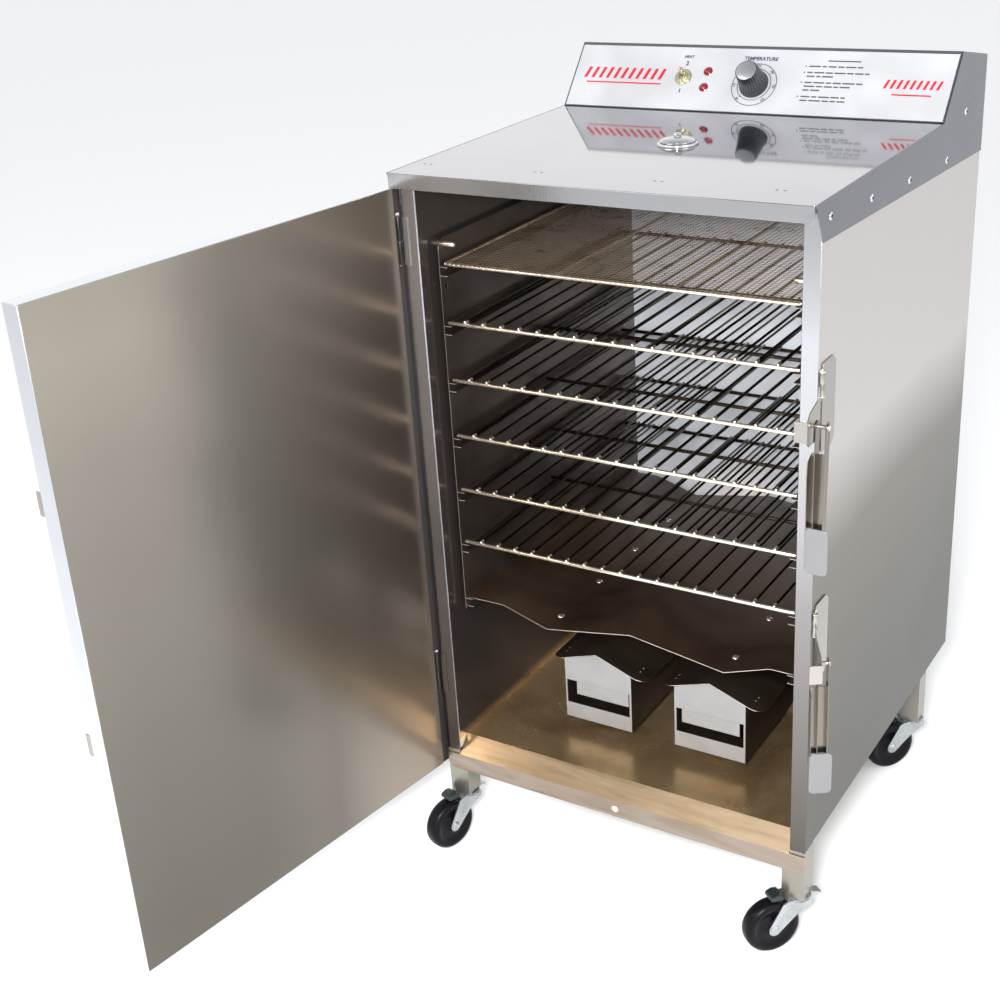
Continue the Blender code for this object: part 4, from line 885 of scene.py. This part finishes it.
def make_prints():
    blue = bmesh.new()
    add_ring(blue, KNOB_X, KNOB_UP, 0.0302, 0.0312)
    add_ring(blue, KNOB_X, KNOB_UP, 0.0224, 0.0233)
    for step in range(DIAL_TICKS + 1):
        angle = math.radians(DIAL_START - DIAL_SWEEP * step / DIAL_TICKS)
        long = step % 5 == 0
        across = Vector((math.cos(angle), math.sin(angle)))
        side = Vector((-across.y, across.x)) * (0.00035 if long else 0.0002)
        start, end = across * 0.0232, across * (0.0256 if long else 0.0245)
        corners = (start - side, end - side, end + side, start + side)
        add_print(blue, [(KNOB_X + corner.x, KNOB_UP + corner.y) for corner in corners])
    for step, number in enumerate(DIAL_NUMBERS):
        angle = math.radians(DIAL_START - DIAL_SWEEP * step / (len(DIAL_NUMBERS) - 1))
        x, up = KNOB_X + 0.0279 * math.cos(angle), KNOB_UP + 0.0279 * math.sin(angle)
        add_words(blue, str(number), x, up, 0.0040, angle - math.pi / 2)
    add_words(blue, "TEMPERATURE", KNOB_X, 0.0800, 0.0072, 0, 0.00025)
    add_words(blue, "HEAT", TOGGLE_X, 0.0800, 0.0056, 0, 0.00022)
    add_words(blue, "2", TOGGLE_X, 0.0700, 0.0085, 0, 0.0003)
    add_words(blue, "1", TOGGLE_X, 0.0285, 0.0085, 0, 0.0003)
    finished("panel_dial_print", blue, INK_BLUE, "cabinet", FACE)

    red = bmesh.new()
    # Each row's ends, its foot and head on the panel, and its number of strokes
    rows = ((-0.2500, -0.1250, 0.0440, 0.0605, 11), (0.1790, 0.2550, 0.0435, 0.0560, 9))
    for first, last, low, high, count in rows:
        pitch = (last - first) / count
        wide = 0.42 * pitch
        lean = 0.3 * (high - low)
        for step in range(count):
            x = first + pitch * step
            add_print(red, [(x, low), (x + wide, low), (x + wide + lean, high), (x + lean, high)])
    add_print(red, round_rectangle((-0.2440, 0.0365), (-0.1290, 0.0385), 0.0009))
    add_print(red, round_rectangle((0.1920, 0.0340), (0.2430, 0.0360), 0.0009))
    finished("panel_red_strokes", red, INK_RED, "cabinet", FACE)

    grey = bmesh.new()
    add_print(grey, round_rectangle((0.0980, 0.0790), (0.1420, 0.0808), 0.0008))
    # Each row's height on the panel, whether a bullet leads it, and the lengths of its bars
    rows = (
        (0.0715, True, (13, 5, 9, 7, 11, 6)),
        (0.0625, True, (6, 11, 8, 12, 7, 9, 5)),
        (0.0570, False, (9, 5, 12)),
        (0.0480, True, (8, 12, 6, 9, 13, 7)),
        (0.0425, False, (12, 7, 9, 5, 11)),
        (0.0370, False, (7, 10)),
        (0.0275, True, (10, 6, 12, 9, 5)),
        (0.0220, False, (8, 13, 7, 6, 9)),
    )
    for up, bullet, words in rows:
        if bullet:
            add_print(grey, arc((0.0700, up), 0.0011, 0, 324, 9))
        x = 0.0740
        for length in words:
            width = length * 0.00125
            add_print(grey, round_rectangle((x, up - 0.0010), (x + width, up + 0.0010), 0.0007, 2))
            x += width + 0.0018
    finished("panel_text_bars", grey, INK_GREY, "cabinet", FACE)


KNOB_FLUTES = 26


def make_console():
    base = PANEL_FACE + 2 * GAP
    skirt = [(0.0199, 0.0), (0.0199, 0.0028), (0.0187, 0.0065), (0.0174, 0.0130)]
    cap = [(0.0174, 0.0130), (0.0161, 0.0230), (0.0151, 0.0332), (0.0143, 0.0345)]
    for name, profile, look in (("skirt", skirt, KNOB_BLACK), ("cap", cap, KNOB_SIDE)):
        shape = bmesh.new()
        rings = []
        steps = KNOB_FLUTES * 6
        for radius, height in profile:
            ring = []
            depth = 0.0 if height < 0.003 or height > 0.034 else 0.055
            for i in range(steps):
                angle = 2 * math.pi * i / steps
                wave = max(0.0, math.cos(2 * math.pi * i * KNOB_FLUTES / steps)) ** 1.5
                reach = radius * (1 - depth * wave)
                ring.append(shape.verts.new((reach * math.cos(angle), reach * math.sin(angle), height)))
            rings.append(ring)
        join_rings(shape, rings)
        place = FACE @ placed(KNOB_X, KNOB_UP, base)
        replaced = ("thermostat_knob",) if name == "skirt" else ()
        finished(f"knob_{name}", shape, look, "thermostat_knob", place, replaced, sharp=50)
    shape = bmesh.new()
    add_turned(shape, [(0, 0.0340), (0.0136, 0.0340), (0.0136, 0.0346), (0.0130, 0.0349), (0, 0.0349)], 48)
    add_plate(shape, round_rectangle((-0.0006, 0.0050), (0.0006, 0.0128), 0.0005), 0.0347, 0.0350)
    finished("knob_disc", shape, KNOB_SILVER, "thermostat_knob", FACE @ placed(KNOB_X, KNOB_UP, base))

    top = PANEL_FACE + 0.006
    shape = bmesh.new()
    add_plate(shape, hexagon(0.0106), PANEL_FACE + 0.0008, PANEL_FACE + 0.0032)
    finished("toggle_nut", shape, GOLD, "cabinet", FACE @ placed(TOGGLE_X, TOGGLE_UP, 0), bevel=0.0004)
    shape = bmesh.new()
    low, high = PANEL_FACE + 0.0001, PANEL_FACE + 0.0007
    add_turned(shape, [(0.0060, low), (0.0122, low), (0.0122, high), (0.0060, high)], 40, None, True)
    bushing = [(0.0046, PANEL_FACE + 0.0010), (0.0070, PANEL_FACE + 0.0010)]
    for turn in range(4):
        height = PANEL_FACE + 0.0034 + 0.0006 * turn
        bushing += [(0.0070, height), (0.0067, height + 0.0003)]
    bushing += [(0.0066, top - 0.0002), (0.0062, top), (0.0050, top), (0.0046, top - 0.0004)]
    add_turned(shape, bushing, 32, None, True)
    place = FACE @ placed(TOGGLE_X, TOGGLE_UP, 0)
    finished("toggle_bushing", shape, GOLD, "cabinet", place)
    shape = bmesh.new()
    lever = [(0, 0.0164), (0.0012, 0.0162), (0.0024, 0.0155), (0.0029, 0.0143), (0.0027, 0.0128)]
    lever += [(0.0020, 0.0108), (0.0016, 0.0060), (0.0018, 0.0020), (0.0021, 0.0002)]
    lever += [(0.0015, -0.0012), (0, -0.0018)]
    tilt = Matrix.Rotation(math.radians(-12), 4, "X")
    pivot = FACE @ placed(TOGGLE_X, TOGGLE_UP, PANEL_FACE + 0.003) @ tilt
    add_turned(shape, lever, 24)
    finished("toggle_stick", shape, GOLD, "toggle_lever", pivot, ("toggle_lever",))

    for which, up in LAMP_UPS.items():
        place = FACE @ placed(LAMP_X, up, 0)
        shape = bmesh.new()
        lens = [(0, PANEL_FACE + 0.0040), (0.0020, PANEL_FACE + 0.0038), (0.0036, PANEL_FACE + 0.0031)]
        lens += [(0.0046, PANEL_FACE + 0.0018), (0.0049, PANEL_FACE + 0.0006), (0.0049, PANEL_FACE - 0.0004)]
        add_turned(shape, [*lens, (0, PANEL_FACE - 0.0004)], 28)
        finished(f"lamp_{which}_lens", shape, LENS_RED, "cabinet", place, (f"indicator_lamp_{which}",))
        shape = bmesh.new()
        bezel = [(0.0050, PANEL_FACE + 0.0001), (0.0064, PANEL_FACE + 0.0001), (0.0063, PANEL_FACE + 0.0008)]
        bezel += [(0.0056, PANEL_FACE + 0.0013), (0.0050, PANEL_FACE + 0.0010)]
        add_turned(shape, bezel, 28, None, True)
        finished(f"lamp_{which}_bezel", shape, LENS_RED, "cabinet", place)


def make_vent():
    seat = TOP + GAP
    shape = bmesh.new()
    collar = [(0.0160, seat + 0.0026), (0.0240, seat + 0.0029), (0.0254, seat + 0.0024)]
    collar += [(0.0259, seat + 0.0012), (0.0259, seat), (0.0160, seat)]
    add_turned(shape, collar, 64, placed(0, VENT_DEPTH, 0), True)
    finished("vent_collar_ring", shape, CHROME, "cabinet", None, ("vent_collar",))
    shape = bmesh.new()
    tube = [(0.0159, seat + 0.0020), (0.0171, seat + 0.0020), (0.0171, VENT_TUBE_FOOT)]
    tube.append((0.0159, VENT_TUBE_FOOT))
    add_turned(shape, tube, 48, placed(0, VENT_DEPTH, 0), True)
    finished("vent_tube", shape, BOLT_STEEL, "cabinet")
    shape = bmesh.new()
    top = seat + 0.0033
    cap = [(0, 0.0104), (0.0026, 0.0103), (0.0046, 0.0096), (0.0053, 0.0084), (0.0050, 0.0072)]
    cap += [(0.0042, 0.0064), (0.0046, 0.0060), (0.0110, 0.0054), (0.0170, 0.0041), (0.0210, 0.0026)]
    cap += [(0.0224, 0.0013), (0.0221, 0.0001), (0.0152, 0.0001), (0.0148, -0.0058), (0, -0.0058)]
    add_turned(shape, cap, 64, placed(0, VENT_DEPTH, top))
    finished("vent_cap_dome", shape, CHROME, "vent_cap", None, ("vent_cap",))


# ---- Latches, hinges and strikes ----
# The stud that the lever turns on, from the latch's barrel
STUD_OUT, STUD_DROP = -0.014, -0.0435


def make_lever(name):
    """A channel open to the front, and its finger pad.

    Two flanges straddle the stud, a wing lies beside the link, and a web joins their backs.
    """
    node = f"latch_{name}_lever"
    turn = Matrix.Rotation(LATCH_TURN[name], 4, "Z")
    barrel = Matrix.Translation(joint_place(f"latch_{name}_swing"))
    place = barrel @ turn @ placed(0, STUD_OUT, STUD_DROP)
    shape = bmesh.new()
    eye = arc((0.0, 0.0), 0.0066, -10, 190, 12)
    foot = [(-0.0084, -0.060), (-0.0084, -0.124), (0.0010, -0.124)]
    flange = [*eye, (-0.0078, -0.030), *foot, (0.0042, -0.050)]
    for low, high in ((0.0010, 0.0020), (0.0126, 0.0136)):
        add_plate(shape, flange, low, high, AS_YZ)
    wing = [(0.0040, -0.036), (-0.0060, -0.042), *foot, (0.0040, -0.050)]
    add_plate(shape, wing, -0.0070, -0.0060, AS_YZ)
    web = [(0.0047, -0.034), (0.0042, -0.050), (0.0010, -0.124)]
    web += [(0.0, -0.124), (0.0032, -0.050), (0.0037, -0.034)]
    add_plate(shape, web, -0.0065, 0.0131, AS_YZ)
    finished(f"{node}_channel", shape, LEVER_STEEL, BODY_OF[node], CABINET @ place, (node,), bevel=0.0002)
    shape = bmesh.new()
    pad = round_rectangle((-0.0074, -0.1765), (0.0200, -0.1200), 0.0060)
    add_plate(shape, pad, 0.0, 0.0012, placed(0, -0.0073, 0) @ AS_XZ)
    finished(f"{node}_pad", shape, PAD_STEEL, BODY_OF[node], CABINET @ place, bevel=0.0004)


# The link's claw begins at CLAW_START from the barrel. The CAD's claw is shorter by CLAW_EXTRA.
CLAW_START, CLAW_EXTRA = -0.0080, 0.0057


def make_latches():
    for name in ("upper", "lower"):
        barrel = joint_place(f"latch_{name}_swing")
        place = Matrix.Translation(barrel) @ Matrix.Rotation(LATCH_TURN[name], 4, "Z")
        back = place.inverted()

        def reach(point, place=place, back=back):
            """Draws the claw out to its full length."""
            local = back @ point
            if local.x < CLAW_START:
                local.x -= CLAW_EXTRA
            return place @ local

        softened(f"latch_{name}_base", 0.0003, LATCH_STEEL)
        softened(f"latch_{name}_link", 0.0003, LATCH_STEEL, move=reach)
        make_lever(name)
        shape = bmesh.new()
        ring = [(0.0019, 0.0), (0.0036, 0.0), (0.0038, 0.0006), (0.0036, 0.0012), (0.0019, 0.0012)]
        add_turned(shape, ring, 24, placed(0, 0, 0.0136), True)
        finished(f"latch_{name}_barrel_collar", shape, BOLT_STEEL, "cabinet", CABINET @ place)
        shape = bmesh.new()
        add_turned(shape, ring, 24, placed(0, 0, -0.0150), True)
        stud = placed(0.0150, STUD_OUT, STUD_DROP) @ Matrix.Rotation(math.pi / 2, 4, "Y")
        head = [(0, 0.0011), (0.0022, 0.0009), (0.0038, 0.0001), (0.0040, -0.0008), (0, -0.0008)]
        add_turned(shape, head, 20, stud)
        for z in (-0.036, -0.048):
            rivet = placed(-0.0006, -0.030, z) @ Matrix.Rotation(-math.pi / 2, 4, "Y")
            add_turned(shape, [(0, 0.0009), (0.0016, 0.0007), (0.0024, 0.0), (0, 0.0)], 16, rivet)
        finished(f"latch_{name}_rivets", shape, BOLT_STEEL, f"latch_{name}_link", CABINET @ place)


def make_hinges_and_strikes():
    for name in ("upper", "lower"):
        softened(
            f"hinge_{name}_frame_leaf",
            0.0003,
            (FRAME_STEEL, HINGE_STEEL),
            lambda centre, normal: centre.x < HINGE.x + KNUCKLE,
        )
        softened(f"hinge_{name}_door_leaf", 0.0003, HINGE_STEEL)
        softened(f"strike_{name}", 0.0003, LATCH_STEEL)


# The strip's span across, from the hinges' axis, and the half width that the knuckles need
STRIP_BACK, STRIP_FRONT, KNUCKLE = -0.0075, 0.0062, 0.0034


def make_door_strip():
    """A dark strip along the door's hinge edge, between the hinges, so that no daylight shows there. Its dark
    colour is painted shade for the gap between door and frame.
    """
    low, high = low_high("door_inner_panel")
    heights = [low.z + 0.001]
    # Every second stretch lies beside a hinge
    for name in ("lower", "upper"):
        leaf_low, leaf_high = low_high(f"hinge_{name}_frame_leaf")
        heights += [leaf_low.z - 0.001, leaf_high.z + 0.003]
    heights.append(high.z - 0.001)
    shape = bmesh.new()
    for index, (bottom, top) in enumerate(zip(heights, heights[1:])):
        spans = [(STRIP_BACK, STRIP_FRONT)]
        if index % 2:
            spans = [(STRIP_BACK, -KNUCKLE), (KNUCKLE, 0.0045)]
        for start, end in spans:
            line = ((start, -0.0006), (end, -0.0006), (end, 0.0006), (start, 0.0006))
            add_plate(shape, line, bottom, top)
    finished("door_hinge_shade_strip", shape, DOOR_GAP_SHADE, "door", DOOR)


# ---- Casters ----
def make_casters():
    for name in ("front_left", "front_right", "rear_left", "rear_right"):
        swivel = joint_place(f"caster_{name}_swivel")
        roll = joint_place(f"caster_{name}_roll")
        trail = math.atan2(roll.x - swivel.x, -(roll.y - swivel.y))
        place = CABINET @ placed(swivel.x, swivel.y, 0) @ Matrix.Rotation(trail, 4, "Z")
        away = math.hypot(roll.x - swivel.x, roll.y - swivel.y)
        fork = BODY_OF[f"caster_{name}_fork"]
        softened(f"caster_{name}_fork", 0.0010, ZINC, segments=3)
        shape = bmesh.new()
        race = [(0.0060, 0.0630), (0.0170, 0.0630), (0.0186, 0.0634), (0.0190, 0.0644), (0.0186, 0.0655)]
        race += [(0.0172, 0.0660), (0.0162, 0.0664), (0.0160, 0.0672), (0.0152, 0.0677), (0.0060, 0.0677)]
        add_turned(shape, race, 40, None, True)
        for side in (-1, 1):
            bolt = placed(side * 0.0146, -away, roll.z) @ Matrix.Rotation(side * math.pi / 2, 4, "Y")
            dome = [(0.0066, -0.0004), (0.0066, 0.0005), (0.0058, 0.0009), (0.0048, 0.0022)]
            dome += [(0.0026, 0.0031), (0, 0.0033)]
            add_turned(shape, dome, 24, bolt)
        finished(f"caster_{name}_race", shape, ZINC, fork, place)

        shape = bmesh.new()
        radius = roll.z + DATUM
        hub = placed(0, -away, roll.z) @ Matrix.Rotation(math.pi / 2, 4, "Y")
        side_line = [(0.0046, 0.0112), (0.0100, 0.0112), (0.0118, 0.0098), (0.0150, 0.0088), (0.0215, 0.0086)]
        side_line += [(0.0250, 0.0096), (0.0270, 0.0112), (0.0312, 0.0117), (0.0340, 0.0108)]
        side_line += [(radius - 0.0012, 0.0082), (radius - 0.0002, 0.0048), (radius, 0.0016)]
        wheel = side_line + [(reach, -height) for reach, height in reversed(side_line)]
        add_turned(shape, wheel, 72, hub, True)
        node = f"caster_{name}_wheel"
        finished(f"{node}_tyre", shape, RUBBER, BODY_OF[node], place, (node,))

        if "front" in name:
            brake = f"caster_{name}_brake"
            softened(brake, 0.0004, ZINC)
            shape = bmesh.new()
            line = [(-0.0410, 0.0700), (-0.0300, 0.0686), (-0.0232, 0.0684), (-0.0232, 0.0738)]
            line += [(-0.0250, 0.0768), (-0.0320, 0.0780), (-0.0400, 0.0752)]
            add_plate(shape, line, -0.0100, 0.0100, AS_YZ)
            finished(f"caster_{name}_brake_shoe", shape, SHOE, fork, place, bevel=0.0012, segments=3)


# ---- Heating elements ----
ELEMENT_TUBE, ELEMENT_BEND, ELEMENT_FRONT = 0.0032, 0.032, 0.157


def make_elements():
    for name in ("left", "right"):
        node = f"heating_element_{name}"
        low, high = low_high(node)
        centre = (low.x + high.x) / 2
        level = low.z + 0.0033
        shape = bmesh.new()
        back = high.y - 0.001
        route = [(centre - ELEMENT_BEND, back, level)]
        route += [(x, y, level) for x, y in arc((centre, ELEMENT_FRONT), ELEMENT_BEND, 180, 360, 20)]
        route.append((centre + ELEMENT_BEND, back, level))
        add_tube(shape, route, ELEMENT_TUBE, 14)
        for side in (-1, 1):
            seat = placed(centre + side * ELEMENT_BEND, high.y - 0.0015, level)
            nut = seat @ Matrix.Rotation(math.pi / 2, 4, "X")
            add_plate(shape, hexagon(0.0072), 0.0, 0.0045, nut)
        finished(f"{node}_tube", shape, TUBE_STEEL, "cabinet", None, (node,))
        shape = bmesh.new()
        outline = round_rectangle((centre - 0.045, level - 0.009), (centre + 0.045, level + 0.012), 0.004)
        add_plate(shape, outline, 0.0, 0.0014, placed(0, high.y, 0) @ AS_XZ)
        finished(f"{node}_flange", shape, LADDER_STEEL, "cabinet", bevel=0.0003)


make_sheets()
make_fittings()
make_racks()
make_prints()
make_console()
make_vent()
make_latches()
make_hinges_and_strikes()
make_door_strip()
make_casters()
make_elements()

# The CAD nodes that stay as they are
LOOKS = {
    "inner_liner": LINER_STEEL,
    "insulation_jacket": WOOL,
    "door_insulation": WOOL,
    "control_panel": PANEL_WHITE,
    "thermostat_body": BLACK_MOULDING,
    "toggle_switch_body": GOLD,
    "cord_gland": BLACK_MOULDING,
}
for name, look in LOOKS.items():
    NODES[name].data.materials.clear()
    NODES[name].data.materials.append(look)
